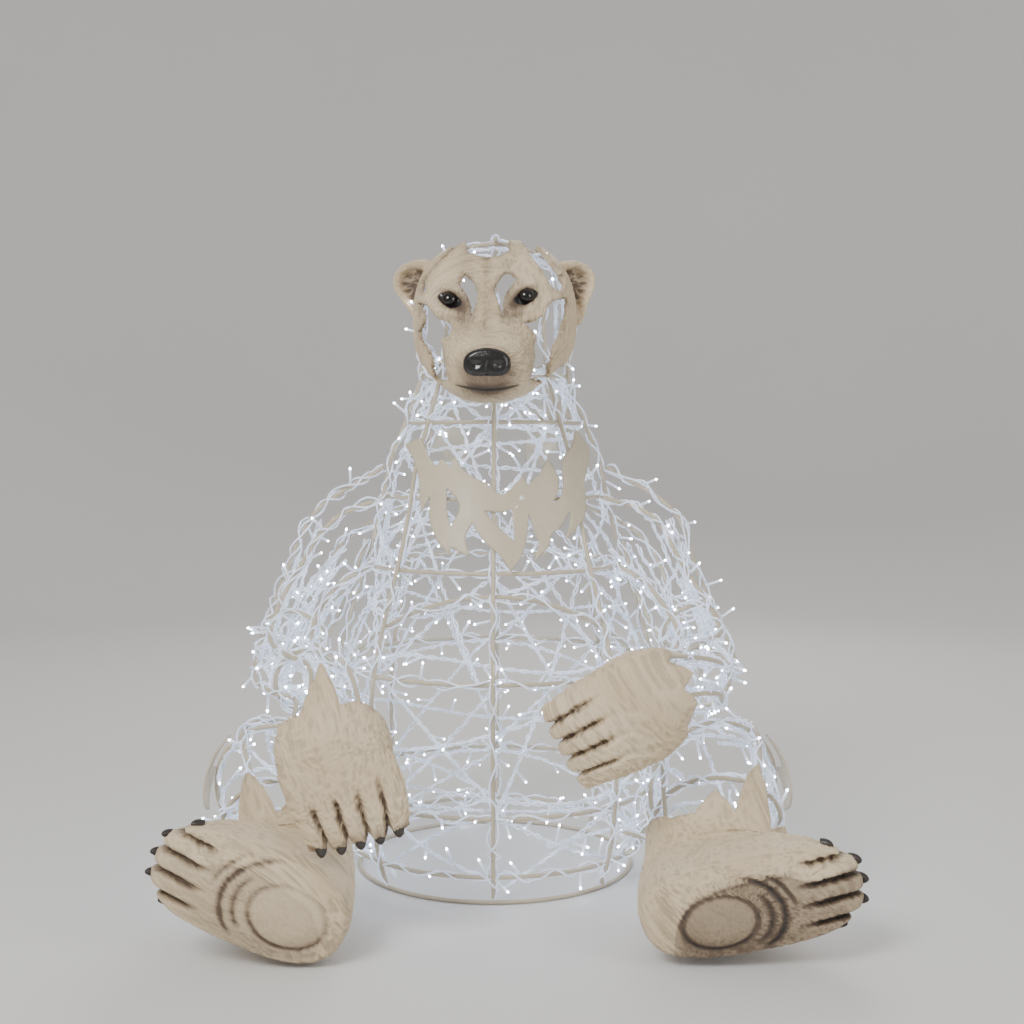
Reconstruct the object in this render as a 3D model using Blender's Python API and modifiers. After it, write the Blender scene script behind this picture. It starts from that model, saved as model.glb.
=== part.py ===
"""Sitting polar bear light figure: a cage of welded rods with a cast head mask, hands and feet.

The bear faces -Y and sits on its base hoop and heels. Its left is +X. Metres, +Z up.
"""

import math

import bmesh
import bpy
import numpy as np
from mathutils import Vector

# Rod, cable, sheet and casting sizes
ROD_DIAMETER = 0.006
CABLE_DIAMETER = 0.004
CABLE_INSET = 0.019
TOUCH_GAP = 0.0003
CUFF_CLEARANCE = 0.0022
WELD_ROOM = 0.0015
CASTING_WALL = 0.005
HEAD_WALL = 0.006
PLATE_THICKNESS = 0.003
ROD_RADIUS = ROD_DIAMETER / 2
ROD_STEP = ROD_DIAMETER + TOUCH_GAP
PLATE_STEP = ROD_RADIUS + TOUCH_GAP

# Trunk skin by height: height, half width, half depth, middle in Y
TRUNK = (
    (0.000, 0.212, 0.214, 0.014),
    (0.060, 0.231, 0.228, 0.010),
    (0.126, 0.240, 0.236, 0.006),
    (0.220, 0.243, 0.243, 0.004),
    (0.312, 0.236, 0.239, 0.004),
    (0.400, 0.212, 0.216, 0.000),
    (0.470, 0.189, 0.186, -0.004),
    (0.550, 0.168, 0.152, -0.010),
    (0.610, 0.155, 0.130, -0.018),
    (0.670, 0.131, 0.110, -0.028),
    (0.730, 0.110, 0.096, -0.026),
    (0.790, 0.106, 0.090, -0.020),
    (0.850, 0.099, 0.082, -0.022),
    (0.900, 0.078, 0.064, -0.030),
    (0.936, 0.040, 0.034, -0.042),
)

# Trunk hoops by height, each inside the ribs
LOW_HOOP_HEIGHT = 0.040
HIP_HOOP_HEIGHT = 0.126
BELLY_HOOP_HEIGHT = 0.312
CHEST_HOOP_HEIGHT = 0.460
SHOULDER_HOOP_HEIGHT = 0.560
NECK_HOOP_HEIGHT = 0.668
NAPE_HOOP_HEIGHT = 0.735
TRUNK_HOOPS = {
    "low_hoop": LOW_HOOP_HEIGHT,
    "hip_hoop": HIP_HOOP_HEIGHT,
    "belly_hoop": BELLY_HOOP_HEIGHT,
    "chest_hoop": CHEST_HOOP_HEIGHT,
    "shoulder_hoop": SHOULDER_HOOP_HEIGHT,
    "neck_hoop": NECK_HOOP_HEIGHT,
    "nape_hoop": NAPE_HOOP_HEIGHT,
}
HOOP_STEPS = 16

# Heights between the hoops where the ribs bend, and where they start
RIB_FOOT = 0.013
HIP_BEND = (HIP_HOOP_HEIGHT + BELLY_HOOP_HEIGHT) / 2
BELLY_BEND = (BELLY_HOOP_HEIGHT + CHEST_HOOP_HEIGHT) / 2
CHEST_BEND = (CHEST_HOOP_HEIGHT + SHOULDER_HOOP_HEIGHT) / 2
SHOULDER_BEND = (SHOULDER_HOOP_HEIGHT + NECK_HOOP_HEIGHT) / 2
NECK_BEND = (NECK_HOOP_HEIGHT + NAPE_HOOP_HEIGHT) / 2
SKULL_BEND = NAPE_HOOP_HEIGHT + 0.055

# Belly arch: its crown below the chest hoop, its drop at the ends and its reach to each side
ARCH_BELOW_CHEST = 0.030
ARCH_CROWN = CHEST_HOOP_HEIGHT - ARCH_BELOW_CHEST
ARCH_DROP = 0.085
ARCH_REACH = math.radians(60)
ARCH_STEPS = 8

# Ribs by turn from the front, with the height where each ends
RIB_TURN = math.radians(45)
RIB_TOPS = {0: 0.742, 1: 0.750, 2: 0.815, 3: 0.880, 4: 0.900, 5: 0.880, 6: 0.815, 7: 0.750}
RIB_NAMES = (
    "front_rib",
    "front_left_rib",
    "left_rib",
    "back_left_rib",
    "back_rib",
    "back_right_rib",
    "right_rib",
    "front_right_rib",
)

# Where the back rib hooks over the skull hoop: steps in y and z from its crown
CROWN_HOOK = ((0.028, -0.003), (0.004, ROD_STEP), (-0.022, ROD_STEP - 0.002))
# Turns from the crown where the ribs beside it and the side ribs meet the skull hoop
BACK_CROWN_TURN = 0.62
SIDE_CROWN_TURN = 1.30

# Limbs: place along the limb, centre x, y, z, half across, half thick, direction across
RIGHT_ARM = (
    (0.0, -0.165, -0.030, 0.545, 0.072, 0.072, 1.00, 0.30, -0.60),
    (1.0, -0.216, -0.052, 0.492, 0.066, 0.070, 1.00, 0.20, -0.50),
    (2.0, -0.262, -0.080, 0.425, 0.049, 0.062, 1.00, 0.10, -0.30),
    (3.0, -0.284, -0.120, 0.365, 0.047, 0.058, 1.00, 0.10, -0.15),
    (4.0, -0.282, -0.180, 0.332, 0.048, 0.052, 1.00, 0.20, -0.05),
    (5.0, -0.250, -0.255, 0.324, 0.046, 0.045, 1.00, 0.45, 0.00),
    (6.0, -0.212, -0.320, 0.320, 0.041, 0.041, 1.00, 0.40, 0.00),
    (7.0, -0.199, -0.372, 0.287, 0.056, 0.036, 1.00, 0.20, -0.05),
    (8.0, -0.192, -0.392, 0.243, 0.069, 0.030, 1.00, 0.05, -0.08),
    (9.0, -0.173, -0.401, 0.195, 0.072, 0.024, 1.00, 0.00, -0.10),
    (10.0, -0.160, -0.403, 0.146, 0.064, 0.016, 1.00, 0.00, -0.14),
)
LEFT_ARM = (
    (0.0, 0.165, -0.030, 0.545, 0.072, 0.072, 1.00, -0.30, 0.60),
    (1.0, 0.214, -0.052, 0.495, 0.066, 0.070, 1.00, -0.20, 0.50),
    (2.0, 0.252, -0.080, 0.432, 0.049, 0.062, 1.00, -0.10, 0.30),
    (3.0, 0.280, -0.120, 0.374, 0.047, 0.058, 1.00, -0.10, 0.15),
    (4.0, 0.289, -0.180, 0.338, 0.048, 0.052, 1.00, -0.20, 0.10),
    (5.0, 0.275, -0.255, 0.328, 0.046, 0.045, 0.80, 0.00, 0.60),
    (6.0, 0.250, -0.318, 0.329, 0.041, 0.041, 0.30, 0.10, 0.95),
    (7.0, 0.212, -0.358, 0.320, 0.055, 0.036, -0.30, -0.10, 0.93),
    (8.0, 0.170, -0.376, 0.301, 0.066, 0.030, -0.50, -0.05, 0.86),
    (9.0, 0.128, -0.386, 0.281, 0.066, 0.024, -0.52, 0.00, 0.85),
    (10.0, 0.084, -0.386, 0.257, 0.058, 0.016, -0.54, 0.00, 0.84),
)
RIGHT_LEG = (
    (0.0, -0.205, -0.085, 0.130, 0.086, 0.086, -0.80, 0.50, 0.20),
    (1.0, -0.262, -0.140, 0.156, 0.094, 0.094, -0.90, 0.40, 0.25),
    (2.0, -0.291, -0.205, 0.164, 0.097, 0.098, -0.95, 0.15, 0.30),
    (3.0, -0.279, -0.268, 0.136, 0.085, 0.078, -0.92, -0.10, 0.40),
    (4.0, -0.257, -0.325, 0.100, 0.072, 0.052, -0.91, -0.05, 0.42),
)
LEFT_LEG = (
    (0.0, 0.205, -0.085, 0.130, 0.086, 0.086, 0.80, 0.50, 0.10),
    (1.0, 0.266, -0.140, 0.158, 0.094, 0.094, 0.90, 0.40, 0.15),
    (2.0, 0.301, -0.205, 0.168, 0.097, 0.098, 0.95, 0.15, 0.18),
    (3.0, 0.298, -0.268, 0.140, 0.088, 0.079, 0.95, -0.10, 0.20),
    (4.0, 0.286, -0.325, 0.100, 0.079, 0.053, 0.97, -0.05, 0.22),
)
WRIST = 7.45
ANKLE = 4.0
ARM_RODS = 5
LEG_RODS = 4
ARM_HOOPS = (3.0, 5.0)
LEG_HOOPS = (2.0, 3.0)
# Where each limb rod starts: turn from the front in rib steps, height, first place along the limb
ARM_ROOTS = (
    (3.0, 0.545, 1.0),
    (2.0, 0.600, 1.0),
    (1.5, SHOULDER_HOOP_HEIGHT, 1.0),
    (1.5, CHEST_HOOP_HEIGHT, 2.0),
    (2.0, 0.490, 2.0),
)
LEG_ROOTS = ((2.0, 0.160, 1.0), (1.0, 0.205, 1.0), (1.0, 0.095, 1.0), (2.0, 0.060, 1.0))

# Feet: the sole's middle, its half length and half width, its tilt upwards and its toes
FOOT_BLOCK = {
    "right": (-0.292, -0.438, 0.090, 0.126, 0.064, math.radians(24)),
    "left": (0.317, -0.438, 0.082, 0.138, 0.061, math.radians(11)),
}
DIGITS = 5
DIGIT_SHOULDER = 0.12
SOLE_SQUARENESS = 2.7
SOLE_REAR_STEPS = 14
GROOVE_WIDTH = 0.055
TOE_GROOVE = 0.009
TOE_REACH = 0.013
SOLE_DOME = 0.008
FINGER_GROOVE = 0.40
FINGER_REACH = 0.012
CLAW_LENGTH = 0.019
CLAW_RADIUS = 0.006
CLAW_SINK = 0.009

# Head mask rings: y, middle x, half width, top, bottom, widest height
HEAD = (
    (-0.052, 0.002, 0.117, 0.930, 0.728, 0.812),
    (-0.080, 0.001, 0.117, 0.928, 0.714, 0.810),
    (-0.110, -0.001, 0.113, 0.918, 0.705, 0.805),
    (-0.135, -0.003, 0.106, 0.900, 0.700, 0.800),
    (-0.155, -0.004, 0.098, 0.876, 0.697, 0.793),
    (-0.172, -0.005, 0.087, 0.852, 0.694, 0.783),
    (-0.187, -0.006, 0.074, 0.828, 0.692, 0.770),
    (-0.205, -0.006, 0.064, 0.808, 0.691, 0.757),
    (-0.230, -0.007, 0.059, 0.790, 0.691, 0.748),
    (-0.255, -0.007, 0.053, 0.778, 0.693, 0.744),
    (-0.272, -0.007, 0.044, 0.769, 0.699, 0.741),
    (-0.284, -0.007, 0.032, 0.762, 0.711, 0.740),
)
HEAD_STEPS = 24
HEAD_SQUARENESS = 2.5
NOSE_TIP = (-0.007, -0.288, 0.740)
EYE_SPACING = 0.105
EYE_MIDDLE = -0.0075
EYE_HEIGHT = 0.835
EYE_DEPTH = -0.166
EYE_RADIUS = 0.0125
SOCKET_DEPTH = 0.007
EAR_PLACE = (0.113, -0.066, 0.867)
EAR_TURN = math.radians(14)
EAR_ROLL = math.radians(8)
# Ear outline, as seen from the front: outward and up from the ear's place
EAR_EDGE = (
    (-0.026, 0.028), (0.000, 0.033), (0.018, 0.028), (0.030, 0.017), (0.034, 0.003),
    (0.029, -0.013), (0.019, -0.031), (0.010, -0.049), (0.002, -0.060), (-0.007, -0.052),
    (-0.013, -0.012),
)
EAR_MIDDLE = (0.008, 0.004)
# Rows of the ear from its back over its rim into its bowl: share of the outline, how far back
EAR_ROWS = ((0.72, 0.011), (1.0, 0.002), (0.94, -0.007), (0.68, -0.003), (0.42, 0.005))
EAR_BACK = 0.014
EAR_BOWL = 0.006
# The open underside behind the chin, as seen from the side: y and z
THROAT_FRONT = -0.172
THROAT_TOP = 0.747
THROAT = (
    (THROAT_FRONT, 0.600), (THROAT_FRONT, 0.716), (-0.135, THROAT_TOP), (0.050, THROAT_TOP),
    (0.050, 0.600),
)
THROAT_HALF = 0.160
SKULL_HOOP_INSET = 0.004

# Flame openings in the mask, as seen from the front: x and z of each corner
CHEEK_OPENING_RIGHT = (
    (-0.106, 0.833), (-0.097, 0.803), (-0.105, 0.792), (-0.088, 0.757), (-0.078, 0.722),
    (-0.058, 0.722), (-0.068, 0.761), (-0.070, 0.778), (-0.059, 0.781), (-0.058, 0.802),
    (-0.080, 0.812), (-0.092, 0.827),
)
CHEEK_OPENING_LEFT = (
    (0.104, 0.842), (0.104, 0.829), (0.096, 0.795), (0.084, 0.766), (0.070, 0.722),
    (0.050, 0.722), (0.057, 0.757), (0.055, 0.767), (0.058, 0.780), (0.041, 0.801),
    (0.068, 0.812), (0.078, 0.830),
)
BROW_OPENING_RIGHT = (
    (-0.041, 0.872), (-0.048, 0.856), (-0.039, 0.844), (-0.033, 0.829), (-0.029, 0.808),
    (-0.022, 0.834), (-0.022, 0.849), (-0.031, 0.864),
)
BROW_OPENING_LEFT = (
    (0.019, 0.873), (0.005, 0.859), (0.002, 0.846), (0.009, 0.822), (0.014, 0.806),
    (0.016, 0.838), (0.024, 0.851), (0.035, 0.864),
)
TEMPLE_SLOT_RIGHT = (
    (-0.046, 0.938), (-0.056, 0.925), (-0.085, 0.885), (-0.106, 0.858), (-0.100, 0.845),
    (-0.095, 0.848), (-0.095, 0.864), (-0.065, 0.902), (-0.038, 0.936),
)
TEMPLE_SLOT_LEFT = (
    (0.036, 0.940), (0.048, 0.934), (0.080, 0.895), (0.101, 0.864), (0.096, 0.847),
    (0.083, 0.852), (0.064, 0.882), (0.050, 0.902),
)
CROWN_NOTCH = (
    (-0.040, 0.945), (-0.037, 0.906), (-0.010, 0.896), (0.020, 0.905), (0.018, 0.945),
)
# The mask's openings are cut from the front, between these two places in y
MASK_CUT = (-0.32, 0.02)
MASK_OPENINGS = (
    CHEEK_OPENING_RIGHT,
    CHEEK_OPENING_LEFT,
    BROW_OPENING_RIGHT,
    BROW_OPENING_LEFT,
    TEMPLE_SLOT_RIGHT,
    TEMPLE_SLOT_LEFT,
    CROWN_NOTCH,
)

# Flame-cut plates, as seen from the front: x and z of each tip and notch
PLATE_CUT = (-0.30, 0.02)
NAPE_CUT = (-0.02, 0.30)
KNEE_CUT = (0.30, 0.45)
COLLAR_FOOT = 0.440
COLLAR_EDGE = (
    (-0.126, 0.635), (-0.103, 0.644), (-0.085, 0.609), (-0.078, 0.604), (-0.073, 0.616),
    (-0.059, 0.603), (-0.055, 0.619), (-0.044, 0.602), (-0.030, 0.591), (-0.010, 0.581),
    (0.012, 0.566), (0.025, 0.575), (0.040, 0.592), (0.047, 0.578), (0.062, 0.593),
    (0.075, 0.616), (0.090, 0.584), (0.088, 0.566), (0.080, 0.551), (0.094, 0.563),
    (0.097, 0.616), (0.109, 0.632), (0.115, 0.656), (0.127, 0.640), (0.135, 0.626),
    (0.127, 0.583), (0.127, 0.534), (0.117, 0.520), (0.099, 0.501), (0.107, 0.534),
    (0.105, 0.542), (0.090, 0.517), (0.081, 0.512), (0.076, 0.495), (0.055, 0.474),
    (0.062, 0.498), (0.056, 0.516), (0.048, 0.540), (0.046, 0.512), (0.039, 0.484),
    (0.024, 0.461), (0.010, 0.482), (-0.013, 0.502), (-0.029, 0.526), (-0.038, 0.509),
    (-0.032, 0.481), (-0.059, 0.493), (-0.060, 0.483), (-0.077, 0.501), (-0.088, 0.530),
    (-0.088, 0.563), (-0.101, 0.540), (-0.105, 0.588), (-0.114, 0.616),
)
COLLAR_HOLES = (
    ((-0.065, 0.575), (-0.047, 0.550), (-0.059, 0.520), (-0.064, 0.540)),
    ((-0.013, 0.543), (0.016, 0.542), (0.025, 0.546), (0.029, 0.502), (0.011, 0.517)),
)
NAPE_PLATE = (
    (0.046, 0.598), (0.060, 0.618), (0.074, 0.600), (0.088, 0.626), (0.106, 0.618),
    (0.114, 0.672), (0.098, 0.700), (0.070, 0.694), (0.052, 0.664),
)
# The knee plates, as seen from the side: y and z
KNEE_PLATE = (
    (-0.232, 0.152), (-0.216, 0.200), (-0.186, 0.236), (-0.192, 0.192), (-0.166, 0.186),
    (-0.190, 0.160), (-0.208, 0.136),
)

# Flame tongues round the cuffs: turn in degrees, half spread in degrees, height
HAND_FLAMES = {
    "right": (
        (254, 22, 0.050), (302, 30, 0.008), (28, 30, 0.014), (100, 36, 0.016), (165, 30, 0.012),
    ),
    "left": (
        (24, 22, 0.016), (62, 20, 0.020), (98, 20, 0.016), (160, 30, 0.010), (270, 36, 0.014),
    ),
}
FOOT_FLAMES = {
    "right": (
        (44, 18, 0.062), (348, 22, 0.016), (88, 22, 0.026), (140, 28, 0.020), (230, 30, 0.016),
    ),
    "left": (
        (308, 17, 0.068), (276, 16, 0.026), (344, 16, 0.016), (210, 26, 0.014), (110, 34, 0.018),
    ),
}
CUFF_LENGTH = 0.022
CUFF_FLOOR_DIP = 0.012
# Rows of a hand past the wrist: place along the arm, and how much of the cuff's wall is added
HAND_ROWS = (
    (7.7, 0.7), (8.1, 0.25), (8.6, 0.0), (9.1, 0.0), (9.6, 0.0), (9.9, 0.0), (10.0, 0.0),
)
# Rows of a foot's body between ankle and sole edge: share of the sole's outline, depth behind it
FOOT_ROWS = ((0.42, 0.075), (0.84, 0.046), (1.0, 0.022))
# Rows of the sole from its edge inward: share of the outline, depth behind the sole's plane
SOLE_ROWS = ((0.96, 0.003), (0.80, -0.005), (0.50, -0.007))

# The light string: the heights or places that it is wound between, and its turns
TRUNK_STRING = (0.060, 0.530)
TRUNK_STRING_TURNS = 5
NECK_STRING = (0.585, 0.710)
NECK_STRING_TURNS = 2
ARM_STRING = (1.6, 5.6, 3)
LEG_STRING = (1.2, 3.7, 2)

CREAM_PAINT = (0.60, 0.54, 0.43, 1.0)
CREAM_RESIN = (0.62, 0.55, 0.44, 1.0)
CLEAR_CABLE = (0.80, 0.85, 0.90, 1.0)


def through(stations, at):
    """Smooth curve through the stations, whose first column is the place along it."""
    table = np.asarray(stations, float)
    knots, values = table[:, 0], table[:, 1:]
    slopes = np.gradient(values, knots, axis=0)
    at = np.clip(np.asarray(at, float), knots[0], knots[-1])
    left = np.clip(np.searchsorted(knots, at, side="right") - 1, 0, len(knots) - 2)
    width = (knots[left + 1] - knots[left])[..., None]
    s = (at[..., None] - knots[left][..., None]) / width
    start = (1 + 2 * s) * (1 - s) ** 2 * values[left] + s * (1 - s) ** 2 * width * slopes[left]
    end = s * s * (3 - 2 * s) * values[left + 1] + s * s * (s - 1) * width * slopes[left + 1]
    return start + end


def unit(vectors):
    return vectors / np.linalg.norm(vectors, axis=-1, keepdims=True)


def trunk_point(turn, height):
    """Point of the trunk's skin at a turn from the front, towards +X, and a height."""
    turn, height = np.broadcast_arrays(np.asarray(turn, float), np.asarray(height, float))
    size = through(TRUNK, height)
    x = size[..., 0] * np.sin(turn)
    y = size[..., 2] - size[..., 1] * np.cos(turn)
    return np.stack([x, y, height], axis=-1)


def trunk_skin(turn, height, outward=0.0):
    """The trunk's skin moved outward along its own normal."""
    small = 0.002
    sideways = trunk_point(turn + small, height) - trunk_point(turn - small, height)
    upwards = trunk_point(turn, height + small) - trunk_point(turn, height - small)
    return trunk_point(turn, height) + outward * unit(np.cross(sideways, upwards))


def limb_frame(limb, place):
    """Centre, direction along, across and through the thickness, and half sizes of a limb."""
    row = through(limb, place)
    small = 0.02
    along = unit(through(limb, place + small)[..., :3] - through(limb, place - small)[..., :3])
    across = row[..., 5:8]
    across = unit(across - (across * along).sum(-1, keepdims=True) * along)
    thick = np.cross(across, along)
    return row[..., :3], along, across, thick, row[..., 3:5]


def limb_skin(limb, place, turn, outward=0.0):
    """Point of the limb's skin at a place along it and a turn round it."""
    place, turn = np.broadcast_arrays(np.asarray(place, float), np.asarray(turn, float))
    centre, _, across, thick, half = limb_frame(limb, place)
    wide = (half[..., 0] + outward) * np.cos(turn)
    deep = (half[..., 1] + outward) * np.sin(turn)
    return centre + wide[..., None] * across + deep[..., None] * thick


def clear_scene():
    for old in list(bpy.data.objects):
        bpy.data.objects.remove(old, do_unlink=True)


def new_collection(name, hidden=False):
    collection = bpy.data.collections.new(name)
    bpy.context.scene.collection.children.link(collection)
    collection.hide_render = hidden
    return collection


def principled(name, colour, roughness, metallic=0.0):
    material = bpy.data.materials.new(name)
    material.use_nodes = True
    shader = material.node_tree.nodes["Principled BSDF"]
    shader.inputs["Base Color"].default_value = colour
    shader.inputs["Roughness"].default_value = roughness
    shader.inputs["Metallic"].default_value = metallic
    return material


def smoothed(points):
    """The same points with one more between each two, on a smooth curve through them all."""
    table = np.column_stack([np.arange(len(points)), points])
    return through(table, np.arange(0, len(points) - 0.75, 0.5))


def tube(name, points, diameter, collection, material, closed=False):
    """A rod or cable as a bevelled curve through its points."""
    curve = bpy.data.curves.new(name, "CURVE")
    curve.dimensions = "3D"
    curve.bevel_depth = diameter / 2
    curve.bevel_resolution = 0
    curve.use_fill_caps = True
    spline = curve.splines.new("POLY")
    spline.points.add(len(points) - 1)
    for spot, point in zip(spline.points, points):
        spot.co = (*(float(value) for value in point), 1.0)
    spline.use_cyclic_u = closed
    spline.use_smooth = True
    curve.materials.append(material)
    made = bpy.data.objects.new(name, curve)
    collection.objects.link(made)
    return made


def mesh_object(name, vertices, faces, collection, material=None):
    """A closed mesh with its doubles welded and its faces turned outward."""
    mesh = bpy.data.meshes.new(name)
    mesh.from_pydata([tuple(map(float, v)) for v in vertices], [], faces)
    shape = bmesh.new()
    shape.from_mesh(mesh)
    bmesh.ops.remove_doubles(shape, verts=shape.verts, dist=1e-6)
    bmesh.ops.recalc_face_normals(shape, faces=shape.faces)
    shape.to_mesh(mesh)
    shape.free()
    mesh.shade_smooth()
    if material:
        mesh.materials.append(material)
    made = bpy.data.objects.new(name, mesh)
    collection.objects.link(made)
    return made


def loft(name, rows, first_pole, last_pole, collection, material=None):
    """A closed skin over rows of points, with a pole where an end has one."""
    count = len(rows[0])
    vertices = [point for row in rows for point in row]
    faces = []
    for row in range(len(rows) - 1):
        for step in range(count):
            after = (step + 1) % count
            low, high = row * count, (row + 1) * count
            faces.append((low + step, low + after, high + after, high + step))
    for pole, row in ((first_pole, 0), (last_pole, len(rows) - 1)):
        if pole is None:
            continue
        vertices.append(pole)
        for step in range(count):
            faces.append((row * count + step, row * count + (step + 1) % count, len(vertices) - 1))
    return mesh_object(name, vertices, faces, collection, material)


def prism(name, corners, low, high, collection, along=1):
    """A flat outline carried along Y, or along X where along is 0, from low to high."""
    def place(corner, depth):
        return (corner[0], depth, corner[1]) if along == 1 else (depth, corner[0], corner[1])

    count = len(corners)
    vertices = [place(corner, depth) for depth in (low, high) for corner in corners]
    faces = [tuple(range(count)), tuple(range(2 * count - 1, count - 1, -1))]
    for step in range(count):
        after = (step + 1) % count
        faces.append((step, step + count, after + count, after))
    made = mesh_object(name, vertices, faces, collection)
    made.hide_render = True
    made.display_type = "WIRE"
    return made


def combine(target, cutter, operation):
    """A Boolean of the target with another shape."""
    change = target.modifiers.new(cutter.name, "BOOLEAN")
    change.object = cutter
    change.operation = operation
    change.solver = "EXACT"


def sheet(name, grid, collection, material):
    """A thin bent sheet: a grid of points thickened outward."""
    rows, count = grid.shape[:2]
    faces = []
    for row in range(rows - 1):
        for step in range(count - 1):
            corner = row * count + step
            faces.append((corner, corner + 1, corner + count + 1, corner + count))
    mesh = bpy.data.meshes.new(name)
    mesh.from_pydata([tuple(map(float, v)) for v in grid.reshape(-1, 3)], [], faces)
    mesh.materials.append(material)
    made = bpy.data.objects.new(name, mesh)
    collection.objects.link(made)
    thicken = made.modifiers.new("thickness", "SOLIDIFY")
    thicken.thickness = PLATE_THICKNESS
    thicken.offset = 1.0
    return made


def base_hoop(collection, material):
    """The hoop that the cage stands on, a six-sided section turned about the upright axis."""
    size = through(TRUNK, 0.0)
    radius = float(size[0]) - ROD_STEP
    flat = ROD_RADIUS * math.cos(math.radians(30))
    corners = []
    for step in range(6):
        turn = math.radians(60 - 60 * step)
        corners.append((radius + ROD_RADIUS * math.cos(turn), 0.0, flat + ROD_RADIUS * math.sin(turn)))
    mesh = bpy.data.meshes.new("base_hoop")
    mesh.from_pydata(corners, [(step, (step + 1) % 6) for step in range(6)], [])
    mesh.materials.append(material)
    made = bpy.data.objects.new("base_hoop", mesh)
    made.location = (0.0, float(size[2]), 0.0)
    collection.objects.link(made)
    turned = made.modifiers.new("turn", "SCREW")
    turned.steps = HOOP_STEPS
    turned.render_steps = HOOP_STEPS
    turned.merge_threshold = 0.00001
    turned.use_merge_vertices = True


def arch_height(turn):
    return ARCH_CROWN - ARCH_DROP * (turn / ARCH_REACH) ** 2


def trunk_hoops(collection, material):
    turns = np.arange(HOOP_STEPS) * 2 * math.pi / HOOP_STEPS
    for name, height in TRUNK_HOOPS.items():
        points = trunk_skin(turns, np.full(HOOP_STEPS, height), -ROD_STEP)
        tube(name, points, ROD_DIAMETER, collection, material, closed=True)
    turns = np.linspace(-ARCH_REACH, ARCH_REACH, ARCH_STEPS + 1)
    points = trunk_skin(turns, arch_height(turns), -ROD_STEP)
    tube("belly_arch", points, ROD_DIAMETER, collection, material)


def skull_ring(turn):
    """Point of the hoop behind the mask's rim, at a turn from the crown towards +X."""
    y, middle, half, top, bottom, widest = HEAD[0]
    reach = np.where(np.cos(turn) > 0, top - widest, widest - bottom)
    x = middle + (half - SKULL_HOOP_INSET) * np.sin(turn)
    z = widest + (reach - SKULL_HOOP_INSET) * np.cos(turn)
    return np.stack([x, np.full_like(x, y + ROD_RADIUS + TOUCH_GAP), z], axis=-1)


def skull_hoop(collection, material):
    turns = np.arange(HOOP_STEPS) * 2 * math.pi / HOOP_STEPS
    tube("skull_hoop", skull_ring(turns), ROD_DIAMETER, collection, material, closed=True)


def ribs(collection, material):
    """Eight upright rods outside the hoops. The ones at the back climb to the skull hoop."""
    crossings = [RIB_FOOT] + list(TRUNK_HOOPS.values())
    middles = [HIP_BEND, BELLY_BEND, CHEST_BEND, SHOULDER_BEND, NECK_BEND]
    behind = np.array([0.0, ROD_STEP, 0.0])
    crown = skull_ring(np.array(0.0))
    for step, name in enumerate(RIB_NAMES):
        turn = step * RIB_TURN
        side_turn = turn if turn <= math.pi else turn - 2 * math.pi
        heights = crossings + middles
        if abs(side_turn) < ARCH_REACH:
            heights.remove(BELLY_BEND)
            heights.append(arch_height(side_turn))
        top = RIB_TOPS[step]
        heights = [height for height in heights + [SKULL_BEND] if height < top - 0.01]
        heights = np.array(sorted(heights + [top]))
        points = list(trunk_skin(np.full(len(heights), turn), heights))
        if name == "back_rib":
            points += [crown + np.array([0.0, back, up]) for back, up in CROWN_HOOK]
        elif name in ("back_left_rib", "back_right_rib"):
            points.append(skull_ring(np.array(math.copysign(BACK_CROWN_TURN, side_turn))) + behind)
        elif name in ("left_rib", "right_rib"):
            points.append(skull_ring(np.array(math.copysign(SIDE_CROWN_TURN, side_turn))) + behind)
        tube(name, points, ROD_DIAMETER, collection, material)


def limb_cage(side, kind, limb, collection, material):
    """The rods and hoops of one limb, from the trunk's ribs into the cuff."""
    sign = 1 if side == "left" else -1
    arm = kind == "arm"
    roots, count, hoops = (ARM_ROOTS, ARM_RODS, ARM_HOOPS) if arm else (LEG_ROOTS, LEG_RODS, LEG_HOOPS)
    end = WRIST if arm else ANKLE
    places = np.append(np.arange(1.0, end, 1.0), end - 0.1)
    mirrored = (lambda turn: math.pi - turn) if arm else (lambda turn: -turn)
    spread = 2 * math.pi / count
    start = math.pi / 2 if arm else math.pi / 4
    for step in range(count):
        turn = start + step * spread
        turn = turn if side == "right" else mirrored(turn)
        steps_round, height, first = roots[step]
        beyond = places[places >= first]
        on_rib = steps_round == int(steps_round)
        root = trunk_skin(sign * steps_round * RIB_TURN, height, on_rib * ROD_STEP + WELD_ROOM)
        points = [root] + list(limb_skin(limb, beyond, np.full(len(beyond), turn)))
        tube(f"{side}_{kind}_rod_{step + 1}", smoothed(points), ROD_DIAMETER, collection, material)
    sides = 10 if arm else 12
    turns = start + np.arange(sides) * 2 * math.pi / sides
    turns = turns if side == "right" else mirrored(turns)
    for step, place in enumerate(hoops):
        points = limb_skin(limb, np.full(sides, place), turns, -ROD_STEP)
        name = f"{side}_{kind}_hoop_{step + 1}"
        tube(name, points, ROD_DIAMETER, collection, material, closed=True)


def flame_rim(turns, flames, length):
    """Cuff length at each turn: a plain band with pointed tongues."""
    degrees = np.degrees(turns) % 360
    reach = np.zeros_like(turns)
    for middle, spread, height in flames:
        away = np.abs((degrees - middle + 180) % 360 - 180)
        reach = np.maximum(reach, height * np.clip(1 - away / spread, 0, 1))
    return length + reach


def flame_tips(flames):
    """Turns of the tongues that stand taller than the cuff is long."""
    return np.radians([middle for middle, spread, height in flames if height > CUFF_LENGTH])


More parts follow.
